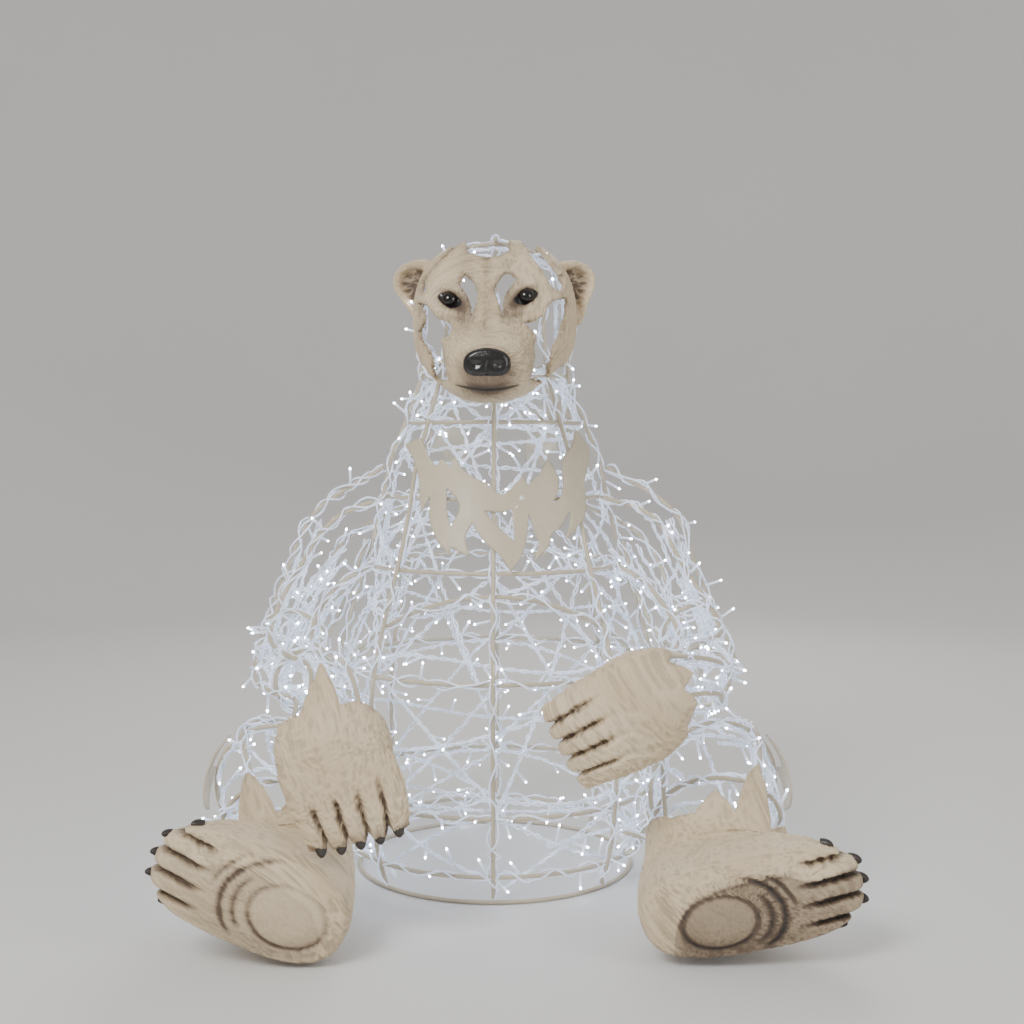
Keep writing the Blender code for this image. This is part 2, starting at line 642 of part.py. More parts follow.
def cuff_rows(limb, end, turns, flames):
    """Rows of the cuff from inside its floor, over the flame rim, to the limb's end."""
    step_length = np.linalg.norm(through(limb, end)[:3] - through(limb, end - 1)[:3])
    rim = end - flame_rim(turns, flames, CUFF_LENGTH) / step_length
    inside = ROD_RADIUS + CUFF_CLEARANCE
    outside = inside + CASTING_WALL
    inner = [limb_skin(limb, rim + (end - rim) * share, turns, inside) for share in (0.0, 0.5, 1.0)]
    outer = [limb_skin(limb, rim + (end - rim) * share, turns, outside) for share in (0.0, 0.5, 1.0)]
    return inner[::-1] + outer


def lobes(across):
    """How deep the grooves between fingers or toes are at a place from -1 to 1 across."""
    edges = [2 * (step + 1) / DIGITS - 1 for step in range(DIGITS - 1)]
    return sum(np.exp(-(((across - edge) / GROOVE_WIDTH) ** 2)) for edge in edges)


def digit_places():
    """Places across from -1 to 1: two shoulders on each digit and the groove after it."""
    places = []
    for step in range(DIGITS):
        middle = (2 * step + 1) / DIGITS - 1
        places += [middle - DIGIT_SHOULDER, middle + DIGIT_SHOULDER]
        if step < DIGITS - 1:
            places.append(middle + 1 / DIGITS)
    return np.array(places)


def hand(side, limb, collection, cutters, material):
    """A cast hand: an open flame-edged cuff, the back of the hand and grooved fingers."""
    half_round = np.arccos(digit_places()[::-1])
    tips = flame_tips(HAND_FLAMES[side])
    half_round = np.concatenate([half_round, np.arccos(np.cos(tips))])
    turns = np.sort(np.concatenate([[0.0, math.pi], half_round, 2 * math.pi - half_round]))
    rows = cuff_rows(limb, WRIST, turns, HAND_FLAMES[side])
    outside = ROD_RADIUS + CUFF_CLEARANCE + CASTING_WALL
    across = np.cos(turns)
    notch = FINGER_REACH * (lobes(across) + 0.6 * across**4)
    for place, extra in HAND_ROWS:
        centre, along, wide, thick, half = limb_frame(limb, np.full(len(turns), place))
        ramp = np.clip((place - 8.6) / 0.6, 0, 1)
        flat = 1 - FINGER_GROOVE * ramp * lobes(across)
        rounded = math.sqrt(1 - max((place - 9.3) / 0.7, 0) ** 2)
        size = half + outside * extra
        point = centre + (size[:, 0] * across)[:, None] * wide
        point = point + (size[:, 1] * np.sin(turns) * flat * rounded)[:, None] * thick
        rows.append(point - (ramp * notch)[:, None] * along)
    floor = through(limb, WRIST + 0.25)[:3]
    made = loft(f"{side}_hand", rows, floor, None, collection, material)
    if side == "right":
        claws(made, limb, cutters)


def claw(name, base, direction, cutters):
    """A short pointed claw with its root in the casting."""
    direction = unit(direction)
    bpy.ops.mesh.primitive_cone_add(
        vertices=5, radius1=CLAW_RADIUS, radius2=0.001, depth=CLAW_LENGTH,
        location=tuple(base + direction * (CLAW_LENGTH / 2 - CLAW_SINK)),
    )
    made = bpy.context.object
    made.name = name
    made.rotation_mode = "QUATERNION"
    made.rotation_quaternion = Vector(direction.tolist()).to_track_quat("Z", "Y")
    for holder in list(made.users_collection):
        holder.objects.unlink(made)
    cutters.objects.link(made)
    made.hide_render = True
    made.display_type = "WIRE"
    return made


def claws(target, limb, cutters):
    centre, along, wide, thick, half = limb_frame(limb, limb[-1][0])
    for step in range(DIGITS):
        across = (2 * step + 1) / DIGITS - 1
        short = FINGER_REACH * 0.6 * across**4
        base = centre + wide * half[0] * 0.96 * across - along * short
        made = claw(f"{target.name}_claw_{step + 1}", base, along - 0.25 * thick, cutters)
        combine(target, made, "UNION")


def sole_outline(tips):
    """Points round the sole: close together along the toes, wider apart round the heel."""
    toe_side = digit_places()
    forward = (1 - np.abs(toe_side) ** SOLE_SQUARENESS) ** (1 / SOLE_SQUARENESS)
    front = np.arctan2(toe_side, forward)
    rear = np.linspace(front[-1], 2 * math.pi + front[0], SOLE_REAR_STEPS)[1:-1]
    turns = np.sort(np.concatenate([front, rear, tips]) % (2 * math.pi))
    cosine, sine = np.cos(turns), np.sin(turns)
    reach = np.abs(cosine) ** SOLE_SQUARENESS + np.abs(sine) ** SOLE_SQUARENESS
    reach = reach ** (-1 / SOLE_SQUARENESS)
    return np.stack([reach * cosine, reach * sine], axis=-1), turns


def foot(side, limb, collection, cutters, material):
    """A cast foot: a flame-edged cuff that swells into a grooved sole facing forward."""
    x, y, z, half_length, half_width, tilt = FOOT_BLOCK[side]
    sign = 1 if side == "left" else -1
    middle = np.array([x, y, z])
    forward = np.array([sign * math.cos(tilt), 0.0, math.sin(tilt)])
    upward = np.array([-sign * math.sin(tilt), 0.0, math.cos(tilt)])
    tips = flame_tips(FOOT_FLAMES[side])
    shape, turns = sole_outline(tips if sign < 0 else -tips)
    toe = np.clip((shape[:, 0] - 0.2) / 0.3, 0, 1)
    grooves = lobes(shape[:, 1]) * toe
    around = turns if sign < 0 else -turns
    rows = cuff_rows(limb, ANKLE, around, FOOT_FLAMES[side])
    ankle = rows[-1]
    edge = middle + (shape[:, :1] * half_length) * forward + (shape[:, 1:] * half_width) * upward
    edge = edge - (TOE_REACH * grooves)[:, None] * forward
    for blend, depth in FOOT_ROWS:
        row = ankle * (1 - blend) + edge * blend
        row[:, 1] = ankle[:, 1] * (1 - blend) + (y + depth) * blend
        rows.append(row)
    for share, depth in SOLE_ROWS:
        row = middle + (edge - middle) * share
        inward = np.clip((shape[:, 0] * share - 0.3) / 0.2, 0, 1)
        groove = TOE_GROOVE * lobes(shape[:, 1] * share) * inward
        row[:, 1] = y + depth + groove
        rows.append(row)
    rows = [np.column_stack([row[:, :2], np.maximum(row[:, 2], 0.0)]) for row in rows]
    floor = through(limb, ANKLE)[:3] + np.array([0.0, -CUFF_FLOOR_DIP, 0.0])
    pole = middle + np.array([0.0, -SOLE_DOME, 0.0])
    made = loft(f"{side}_foot", rows, floor, pole, collection, material)
    for step in range(DIGITS):
        across = (2 * step + 1) / DIGITS - 1
        reach = (1 - abs(across) ** SOLE_SQUARENESS) ** (1 / SOLE_SQUARENESS)
        base = middle + forward * half_length * reach
        base = base + upward * half_width * across + np.array([0.0, 0.022, 0.0])
        pointing = forward + np.array([0.0, -0.35, 0.0])
        combine(made, claw(f"{side}_foot_claw_{step + 1}", base, pointing, cutters), "UNION")


def ring(station, turns, inset=0.0):
    """One upright ring of the head, rounder above than a plain ellipse."""
    y, middle, half, top, bottom, widest = station
    power = 2 / HEAD_SQUARENESS
    sine, cosine = np.sin(turns), np.cos(turns)
    x = middle + (half - inset) * np.sign(sine) * np.abs(sine) ** power
    reach = np.where(cosine > 0, top - widest, widest - bottom) - inset
    z = widest + reach * np.sign(cosine) * np.abs(cosine) ** power
    return np.stack([x, np.full_like(x, y + inset), z], axis=-1)


def carve_head(points):
    """Eye sockets, brow groove and mouth line pressed into the mask's outer skin."""
    x, y, z = points[..., 0], points[..., 1], points[..., 2]
    push = np.zeros_like(x)
    for side in (-1, 1):
        eye_x = EYE_MIDDLE + side * EYE_SPACING / 2
        away = np.hypot((x - eye_x) / 0.024, (z - EYE_HEIGHT) / 0.020)
        push += SOCKET_DEPTH * np.exp(-(away**2)) * (y < -0.12)
        brow = np.hypot((x - eye_x) / 0.030, (z - EYE_HEIGHT - 0.028) / 0.012)
        push -= 0.003 * np.exp(-(brow**2)) * (y < -0.10)
    push += 0.003 * np.exp(-(((x - EYE_MIDDLE) / 0.010) ** 2)) * (z > 0.80) * (y < -0.07)
    push += 0.003 * np.exp(-(((z - 0.7075) / 0.005) ** 2)) * (y < -0.21)
    moved = points.copy()
    moved[..., 1] += push
    return moved


def mask(collection, cutters, material):
    """The hollow head mask, open behind and below, with ears, eyes and flame openings."""
    turns = np.arange(HEAD_STEPS) * 2 * math.pi / HEAD_STEPS
    outer = [carve_head(ring(station, turns)) for station in HEAD]
    inner = [ring(station, turns, HEAD_WALL) for station in HEAD[0:8:2] + HEAD[7:10:2]]
    inner[0][:, 1] = HEAD[0][0]
    rows = inner[::-1] + outer
    inside_pole = np.array([HEAD[-3][1], HEAD[-3][0] + HEAD_WALL - 0.003, HEAD[-3][5]])
    made = loft("head_mask", rows, inside_pole, np.array(NOSE_TIP), collection, material)
    for side in (-1, 1):
        combine(made, ear(side, cutters), "UNION")
        place = (EYE_MIDDLE + side * EYE_SPACING / 2, EYE_DEPTH, EYE_HEIGHT)
        combine(made, eye_ball(f"eye_{side}", place, cutters), "UNION")
    combine(made, prism("throat", THROAT, -THROAT_HALF, THROAT_HALF, cutters, along=0), "DIFFERENCE")
    for step, corners in enumerate(MASK_OPENINGS):
        opening = prism(f"mask_opening_{step + 1}", corners, *MASK_CUT, cutters)
        combine(made, opening, "DIFFERENCE")


def ear(side, cutters):
    """A cupped ear: its back, its rim and its bowl as one closed skin."""
    ear_x, ear_y, ear_z = EAR_PLACE
    edge = np.array(EAR_EDGE) - EAR_MIDDLE
    roll = side * EAR_ROLL

    def row(share, back):
        outward, up = (np.array(EAR_MIDDLE) + share * edge).T
        outward, up = (
            outward * math.cos(roll) - up * math.sin(roll),
            outward * math.sin(roll) + up * math.cos(roll),
        )
        x = side * (ear_x + outward * math.cos(EAR_TURN) - back * math.sin(EAR_TURN))
        y = ear_y + outward * math.sin(EAR_TURN) + back * math.cos(EAR_TURN)
        return np.stack([x, y, ear_z + up], axis=-1)

    rows = [row(share, back) for share, back in EAR_ROWS]
    poles = row(0.0, EAR_BACK)[0], row(0.0, EAR_BOWL)[0]
    made = loft(f"ear_{side}", rows, *poles, cutters)
    made.hide_render = True
    made.display_type = "WIRE"
    return made


def eye_ball(name, place, cutters):
    bpy.ops.mesh.primitive_uv_sphere_add(segments=8, ring_count=6, radius=EYE_RADIUS, location=place)
    made = bpy.context.object
    made.name = name
    for holder in list(made.users_collection):
        holder.objects.unlink(made)
    cutters.objects.link(made)
    made.hide_render = True
    made.display_type = "WIRE"
    return made


def collar(collection, cutters, material):
    """The chest collar, flame-cut from one sheet bent over the front ribs."""
    turns = np.arange(-4, 5) * RIB_TURN / 2
    lower = [COLLAR_FOOT, CHEST_HOOP_HEIGHT, CHEST_BEND]
    heights = np.unique(lower + [SHOULDER_HOOP_HEIGHT, SHOULDER_BEND, NECK_HOOP_HEIGHT])
    grid = trunk_skin(turns[None, :], heights[:, None], PLATE_STEP)
    made = sheet("collar", grid, collection, material)
    combine(made, prism("collar_edge", COLLAR_EDGE, *PLATE_CUT, cutters), "INTERSECT")
    for step, corners in enumerate(COLLAR_HOLES):
        combine(made, prism(f"collar_hole_{step + 1}", corners, *PLATE_CUT, cutters), "DIFFERENCE")


def nape_plates(collection, cutters, material):
    """Two flame-cut plates on the back of the neck."""
    for name, sign in (("left_nape_plate", 1), ("right_nape_plate", -1)):
        turns = np.arange(4, 9) * RIB_TURN / 2 if sign > 0 else np.arange(8, 13) * RIB_TURN / 2
        lower = [SHOULDER_HOOP_HEIGHT, SHOULDER_BEND, NECK_HOOP_HEIGHT]
        heights = np.unique(lower + [NECK_BEND, NAPE_HOOP_HEIGHT])
        grid = trunk_skin(turns[None, :], heights[:, None], PLATE_STEP)
        made = sheet(name, grid, collection, material)
        corners = [(sign * x, z) for x, z in NAPE_PLATE]
        combine(made, prism(f"{name}_edge", corners, *NAPE_CUT, cutters), "INTERSECT")


def knee_plates(collection, cutters, material):
    """A flame-cut plate on the outer side of each knee."""
    for side, limb, sign in (("right", RIGHT_LEG, -1), ("left", LEFT_LEG, 1)):
        places = np.linspace(0.9, 3.4, 6)
        turns = np.linspace(-1.0, 1.0, 6)
        turns = turns if sign < 0 else -turns
        grid = limb_skin(limb, places[:, None], turns[None, :], PLATE_STEP)
        made = sheet(f"{side}_knee_plate", grid, collection, material)
        if np.dot(np.cross(grid[3, 4] - grid[3, 3], grid[4, 3] - grid[3, 3]), [sign, 0, 0]) < 0:
            made.modifiers["thickness"].offset = -1.0
        low, high = sorted(sign * place for place in KNEE_CUT)
        edge = prism(f"{side}_knee_edge", KNEE_PLATE, low, high, cutters, along=0)
        combine(made, edge, "INTERSECT")


def light_strings(collection, material):
    """The light string's cable, wound inside each part of the cage."""
    low, high = TRUNK_STRING
    share = np.linspace(0, 1, 36)
    turns = 0.35 + share * 2 * math.pi * TRUNK_STRING_TURNS
    heights = low + (high - low) * share + 0.020 * np.sin(turns * 2.5)
    points = trunk_skin(turns, heights, -CABLE_INSET)
    tube("trunk_light_string", points, CABLE_DIAMETER, collection, material)
    low, high = NECK_STRING
    share = np.linspace(0, 1, 15)
    turns = 0.9 + share * 2 * math.pi * NECK_STRING_TURNS
    points = trunk_skin(turns, low + (high - low) * share, -CABLE_INSET)
    tube("neck_light_string", points, CABLE_DIAMETER, collection, material)
    for side, kind, limb, (low, high, wound) in (
        ("right", "arm", RIGHT_ARM, ARM_STRING), ("left", "arm", LEFT_ARM, ARM_STRING),
        ("right", "leg", RIGHT_LEG, LEG_STRING), ("left", "leg", LEFT_LEG, LEG_STRING),
    ):
        share = np.linspace(0, 1, 5 * wound + 1)
        turns = 0.4 + share * 2 * math.pi * wound
        points = limb_skin(limb, low + (high - low) * share, turns, -CABLE_INSET)
        tube(f"{side}_{kind}_light_string", points, CABLE_DIAMETER, collection, material)


def centre_on_origin(collection):
    """Moves the bear so that the middle of its box is over the origin."""
    graph = bpy.context.evaluated_depsgraph_get()
    corners = []
    for made in collection.objects:
        shape = made.evaluated_get(graph).to_mesh()
        count = len(shape.vertices)
        points = np.empty(count * 3, np.float32)
        shape.vertices.foreach_get("co", points)
        world = np.array(made.matrix_world)
        points = points.reshape(-1, 3) @ world[:3, :3].T + world[:3, 3]
        corners += [points.min(0), points.max(0)]
        made.evaluated_get(graph).to_mesh_clear()
    corners = np.array(corners)
    middle = (corners.min(0) + corners.max(0)) / 2
    holder = bpy.data.objects.new("bear_centre", None)
    collection.objects.link(holder)
    holder.location = (-float(middle[0]), -float(middle[1]), 0.0)
    return holder


def main():
    clear_scene()
    bear = new_collection("light_up_polar_bear")
    cutters = new_collection("cutters", hidden=True)
    paint = principled("cream_frame_paint", CREAM_PAINT, 0.45)
    resin = principled("cream_resin", CREAM_RESIN, 0.62)
    cable = principled("clear_cable", CLEAR_CABLE, 0.25)
    base_hoop(bear, paint)
    trunk_hoops(bear, paint)
    skull_hoop(bear, paint)
    ribs(bear, paint)
    for side, kind, limb in (
        ("right", "arm", RIGHT_ARM), ("left", "arm", LEFT_ARM),
        ("right", "leg", RIGHT_LEG), ("left", "leg", LEFT_LEG),
    ):
        limb_cage(side, kind, limb, bear, paint)
    hand("right", RIGHT_ARM, bear, cutters, resin)
    hand("left", LEFT_ARM, bear, cutters, resin)
    foot("right", RIGHT_LEG, bear, cutters, resin)
    foot("left", LEFT_LEG, bear, cutters, resin)
    mask(bear, cutters, resin)
    collar(bear, cutters, paint)
    nape_plates(bear, cutters, paint)
    knee_plates(bear, cutters, paint)
    light_strings(bear, cable)
    bpy.context.view_layer.update()
    holder = centre_on_origin(bear)
    for made in list(bear.objects) + list(cutters.objects):
        if made is not holder:
            made.parent = holder
    bpy.context.view_layer.update()


main()
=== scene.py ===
"""Sitting polar bear light figure: welded cage, light strings, cast head, hands and feet, flame plates."""

import math

import bmesh
import bpy
import numpy as np
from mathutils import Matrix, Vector


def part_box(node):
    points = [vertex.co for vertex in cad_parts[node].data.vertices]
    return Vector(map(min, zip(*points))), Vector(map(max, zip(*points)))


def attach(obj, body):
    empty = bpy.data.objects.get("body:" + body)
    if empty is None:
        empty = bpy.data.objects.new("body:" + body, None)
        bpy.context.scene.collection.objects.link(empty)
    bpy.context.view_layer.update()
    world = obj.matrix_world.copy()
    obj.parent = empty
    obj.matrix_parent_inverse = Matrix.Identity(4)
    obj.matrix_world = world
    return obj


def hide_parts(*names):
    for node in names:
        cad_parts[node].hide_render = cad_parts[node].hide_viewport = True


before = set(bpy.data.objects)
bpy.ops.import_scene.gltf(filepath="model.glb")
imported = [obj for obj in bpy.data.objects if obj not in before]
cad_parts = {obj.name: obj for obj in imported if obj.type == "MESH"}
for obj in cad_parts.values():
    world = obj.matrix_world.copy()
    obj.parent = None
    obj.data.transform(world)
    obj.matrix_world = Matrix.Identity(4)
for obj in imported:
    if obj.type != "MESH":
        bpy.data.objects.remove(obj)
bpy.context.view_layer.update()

bl_info = {
    "name": "Light-up polar bear figure",
    "version": (1, 0, 0),
    "blender": (4, 5, 0),
    "location": "View3D > Sidebar > Bear",
    "description": "Dresses the sitting bear's cage with rods, light strings, castings and plates",
    "category": "Object",
}

# The base hoop's middle in the bear's own axes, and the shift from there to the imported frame
HOOP_MIDDLE = np.array([0.0, 0.014])
LOW, HIGH = (np.array(corner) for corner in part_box("base_hoop"))
SHIFT = np.append((LOW[:2] + HIGH[:2]) / 2 - HOOP_MIDDLE, 0.0)

ROD_DIAMETER = 0.006
ROD_RADIUS = ROD_DIAMETER / 2
TOUCH_GAP = 0.0003
ROD_STEP = ROD_DIAMETER + TOUCH_GAP
PLATE_STEP = ROD_RADIUS + TOUCH_GAP
CABLE_INSET = 0.019
CUFF_CLEARANCE = 0.0022
WELD_ROOM = 0.0015
CASTING_WALL = 0.005
HEAD_WALL = 0.006
PLATE_THICKNESS = 0.003

# Share of its radius that a tube's end bulges
DOME = 0.4
# Weld beads: their radius, and how far past touching two rods still get one
BEAD_RADIUS = 0.0036
BEAD_REACH = 0.0022
# Depth of the carved fur on castings, mask and ears
CAST_FUR, MASK_FUR, EAR_FUR = 0.0023, 0.0017, 0.0010
# Shade on the cuffs' floor, and at the ears' back and the bottom of their bowl
CUFF_FLOOR_SHADE = 0.5
EAR_POLE_SHADES = (0.1, 0.9)

# Light strings: how deep the loose runs lie, how often a pane gets two, how near a plate wires stay inside
LOOSE_INSET = 0.012
BOTH_WAYS = 0.45
PLATE_ROOM = 0.016
# Distance from the run to a wire wound on a rod, and to each of two twisted wires with their pitch
WOUND_RADIUS = 0.0052
TWIN_RADIUS = 0.0019
TWIN_PITCH = 0.034
WIRE_SIDES = 5
LAMP_SIDES = 6
# A lamp stick: radius and share of its length at each ring, with the painted glow there
LAMP_RINGS = (
    (0.0011, 0.0, 0.25), (0.0021, 1 / 13, 0.2), (0.0021, 0.60, 0.35), (0.0017, 0.64, 0.7),
    (0.0017, 0.86, 1.0), (0.0019, 0.90, 1.0), (0.0009, 1.0, 1.0),
)
# How far from its run a lamp stands
LAMP_STEP = 0.003
# How far outward a lamp may point, as the cosine to the skin's normal
OUTWARD_BY_PLATE, OUTWARD_ELSEWHERE = -0.2, 0.75
# Steps of a limb rod's wire left off where the rod goes into its cuff
CUFF_STEPS = 9
# Least height of a lamp's foot and tip
FLOOR_ROOM = 0.004

# Trunk skin by height: height, half width, half depth, middle in Y
TRUNK = (
    (0.000, 0.212, 0.214, 0.014),
    (0.060, 0.231, 0.228, 0.010),
    (0.126, 0.240, 0.236, 0.006),
    (0.220, 0.243, 0.243, 0.004),
    (0.312, 0.236, 0.239, 0.004),
    (0.400, 0.212, 0.216, 0.000),
    (0.470, 0.189, 0.186, -0.004),
    (0.550, 0.168, 0.152, -0.010),
    (0.610, 0.155, 0.130, -0.018),
    (0.670, 0.131, 0.110, -0.028),
    (0.730, 0.110, 0.096, -0.026),
    (0.790, 0.106, 0.090, -0.020),
    (0.850, 0.099, 0.082, -0.022),
    (0.900, 0.078, 0.064, -0.030),
    (0.936, 0.040, 0.034, -0.042),
)
HOOP_HEIGHTS = {
    "low_hoop": 0.040,
    "hip_hoop": 0.126,
    "belly_hoop": 0.312,
    "chest_hoop": 0.460,
    "shoulder_hoop": 0.560,
    "neck_hoop": 0.668,
    "nape_hoop": 0.735,
}
ARCH_CROWN = 0.430
ARCH_DROP = 0.085
ARCH_REACH = math.radians(60)
RIB_TURN = math.radians(45)
RIB_TOPS = (0.742, 0.750, 0.815, 0.880, 0.900, 0.880, 0.815, 0.750)
RIB_NAMES = (
    "front_rib", "front_left_rib", "left_rib", "back_left_rib",
    "back_rib", "back_right_rib", "right_rib", "front_right_rib",
)
RIB_FOOT = 0.013
CROWN_HOOK = ((0.028, -0.003), (0.004, ROD_STEP), (-0.022, ROD_STEP - 0.002))
BACK_CROWN_TURN = 0.62
SIDE_CROWN_TURN = 1.30
SKULL_HOOP_INSET = 0.004

# Limbs: place along the limb, centre x, y, z, half across, half thick, direction across
LIMBS = {
    "right_arm": (
        (0.0, -0.165, -0.030, 0.545, 0.072, 0.072, 1.00, 0.30, -0.60),
        (1.0, -0.216, -0.052, 0.492, 0.066, 0.070, 1.00, 0.20, -0.50),
        (2.0, -0.262, -0.080, 0.425, 0.049, 0.062, 1.00, 0.10, -0.30),
        (3.0, -0.284, -0.120, 0.365, 0.047, 0.058, 1.00, 0.10, -0.15),
        (4.0, -0.282, -0.180, 0.332, 0.048, 0.052, 1.00, 0.20, -0.05),
        (5.0, -0.250, -0.255, 0.324, 0.046, 0.045, 1.00, 0.45, 0.00),
        (6.0, -0.212, -0.320, 0.320, 0.041, 0.041, 1.00, 0.40, 0.00),
        (7.0, -0.199, -0.372, 0.287, 0.056, 0.036, 1.00, 0.20, -0.05),
        (8.0, -0.192, -0.392, 0.243, 0.069, 0.030, 1.00, 0.05, -0.08),
        (9.0, -0.173, -0.401, 0.195, 0.072, 0.024, 1.00, 0.00, -0.10),
        (10.0, -0.160, -0.403, 0.146, 0.064, 0.016, 1.00, 0.00, -0.14),
    ),
    "left_arm": (
        (0.0, 0.165, -0.030, 0.545, 0.072, 0.072, 1.00, -0.30, 0.60),
        (1.0, 0.214, -0.052, 0.495, 0.066, 0.070, 1.00, -0.20, 0.50),
        (2.0, 0.252, -0.080, 0.432, 0.049, 0.062, 1.00, -0.10, 0.30),
        (3.0, 0.280, -0.120, 0.374, 0.047, 0.058, 1.00, -0.10, 0.15),
        (4.0, 0.289, -0.180, 0.338, 0.048, 0.052, 1.00, -0.20, 0.10),
        (5.0, 0.275, -0.255, 0.328, 0.046, 0.045, 0.80, 0.00, 0.60),
        (6.0, 0.250, -0.318, 0.329, 0.041, 0.041, 0.30, 0.10, 0.95),
        (7.0, 0.212, -0.358, 0.320, 0.055, 0.036, -0.30, -0.10, 0.93),
        (8.0, 0.170, -0.376, 0.301, 0.066, 0.030, -0.50, -0.05, 0.86),
        (9.0, 0.128, -0.386, 0.281, 0.066, 0.024, -0.52, 0.00, 0.85),
        (10.0, 0.084, -0.386, 0.257, 0.058, 0.016, -0.54, 0.00, 0.84),
    ),
    "right_leg": (
        (0.0, -0.205, -0.085, 0.130, 0.086, 0.086, -0.80, 0.50, 0.20),
        (1.0, -0.262, -0.140, 0.156, 0.094, 0.094, -0.90, 0.40, 0.25),
        (2.0, -0.291, -0.205, 0.164, 0.097, 0.098, -0.95, 0.15, 0.30),
        (3.0, -0.279, -0.268, 0.136, 0.085, 0.078, -0.92, -0.10, 0.40),
        (4.0, -0.257, -0.325, 0.100, 0.072, 0.052, -0.91, -0.05, 0.42),
    ),
    "left_leg": (
        (0.0, 0.205, -0.085, 0.130, 0.086, 0.086, 0.80, 0.50, 0.10),
        (1.0, 0.266, -0.140, 0.158, 0.094, 0.094, 0.90, 0.40, 0.15),
        (2.0, 0.301, -0.205, 0.168, 0.097, 0.098, 0.95, 0.15, 0.18),
        (3.0, 0.298, -0.268, 0.140, 0.088, 0.079, 0.95, -0.10, 0.20),
        (4.0, 0.286, -0.325, 0.100, 0.079, 0.053, 0.97, -0.05, 0.22),
    ),
}
WRIST = 7.45
ANKLE = 4.0
# Where each limb rod starts: turn from the front in rib steps, height, first place along the limb
ROOTS = {
    "arm": ((3.0, 0.545, 1.0), (2.0, 0.600, 1.0), (1.5, 0.560, 1.0), (1.5, 0.460, 2.0), (2.0, 0.490, 2.0)),
    "leg": ((2.0, 0.160, 1.0), (1.0, 0.205, 1.0), (1.0, 0.095, 1.0), (2.0, 0.060, 1.0)),
}
LIMB_HOOPS = {"arm": (3.0, 5.0), "leg": (2.0, 3.0)}
LIMB_ENDS = {"arm": WRIST, "leg": ANKLE}
FIRST_TURNS = {"arm": math.pi / 2, "leg": math.pi / 4}
LIMB_STRANDS = {"arm": 11, "leg": 12}

# Feet: the sole's middle, its half length and half width, its tilt upwards
FOOT_BLOCK = {
    "right": (-0.292, -0.438, 0.090, 0.126, 0.064, math.radians(24)),
    "left": (0.317, -0.438, 0.082, 0.138, 0.061, math.radians(11)),
}
# Heel pad on the sole: middle forward and up from the sole's middle, half length, half height
HEEL_PAD = {"right": (-0.052, -0.003, 0.049, 0.037), "left": (-0.044, -0.014, 0.046, 0.032)}
# Upper edge of the bare sole: place towards the toes and height, from the sole's middle
SOLE_TOP = (
    (-0.108, -0.060), (-0.100, -0.022), (-0.084, 0.006), (-0.045, 0.025), (0.010, 0.030), (0.040, 0.030),
    (0.068, 0.019), (0.120, 0.021),
)
# How dark each bare sole and its upper edge are: the pads' darker paint, with painted shade that makes the
# left sole darker than the right and lines the upper edge
SOLE_TINT_AND_SHADE = {"right": (0.20, 0.10), "left": (0.60, 0.26)}
DIGITS = 5
DIGIT_PLACES = [(2 * step + 1) / DIGITS - 1 for step in range(DIGITS)]
HAND_END = 10.0
# How far the sole's rounded edge reaches back from the sole
SOLE_EDGE = 0.022
CLAW_SHADE = 1.50
GROOVE_WIDTH = 0.055
SOLE_SQUARENESS = 2.7
FINGER_REACH = 0.012
# How much of the cuff's wall a hand keeps at each place past the wrist
HAND_TAPER = ((7.45, 1.0), (7.7, 0.7), (8.1, 0.25), (8.6, 0.0), (10.0, 0.0))
TOE_REACH = 0.013
CUFF_LENGTH = 0.022
# Flame tongues round the cuffs: turn in degrees, half spread in degrees, height
FLAMES = {
    "right_hand": ((254, 22, 0.050), (302, 30, 0.008), (28, 30, 0.014), (100, 36, 0.016), (165, 30, 0.012)),
    "left_hand": ((24, 22, 0.016), (62, 20, 0.020), (98, 20, 0.016), (160, 30, 0.010), (270, 36, 0.014)),
    "right_foot": ((44, 18, 0.062), (348, 22, 0.016), (88, 22, 0.026), (140, 28, 0.020), (230, 30, 0.016)),
    "left_foot": ((308, 17, 0.068), (276, 16, 0.026), (344, 16, 0.016), (210, 26, 0.014), (110, 34, 0.018)),
}

# Head mask rings: depth in front of the rim, middle x, half width, top, bottom, widest height
MASK_RIM = -0.052
HEAD = (
    (0.000, 0.002, 0.117, 0.930, 0.728, 0.812),
    (0.028, 0.001, 0.117, 0.928, 0.714, 0.810),
    (0.058, -0.001, 0.113, 0.918, 0.705, 0.805),
    (0.083, -0.003, 0.106, 0.900, 0.700, 0.800),
    (0.103, -0.004, 0.098, 0.876, 0.697, 0.793),
    (0.120, -0.005, 0.087, 0.852, 0.694, 0.783),
    (0.135, -0.006, 0.074, 0.828, 0.692, 0.770),
    (0.153, -0.006, 0.064, 0.808, 0.691, 0.757),
    (0.178, -0.007, 0.059, 0.790, 0.691, 0.748),
    (0.203, -0.007, 0.053, 0.778, 0.693, 0.744),
    (0.220, -0.007, 0.044, 0.769, 0.699, 0.741),
    (0.232, -0.007, 0.032, 0.762, 0.711, 0.740),
)
HEAD_SQUARENESS = 2.5
NOSE_TIP = (-0.007, -0.288, 0.740)
# Eyes from the bear's right to its left: x and z of each
EYES = ((-0.0600, 0.8330), (0.0450, 0.8375))
EYE_DEPTH = -0.1650
EYE_RADIUS = 0.0122
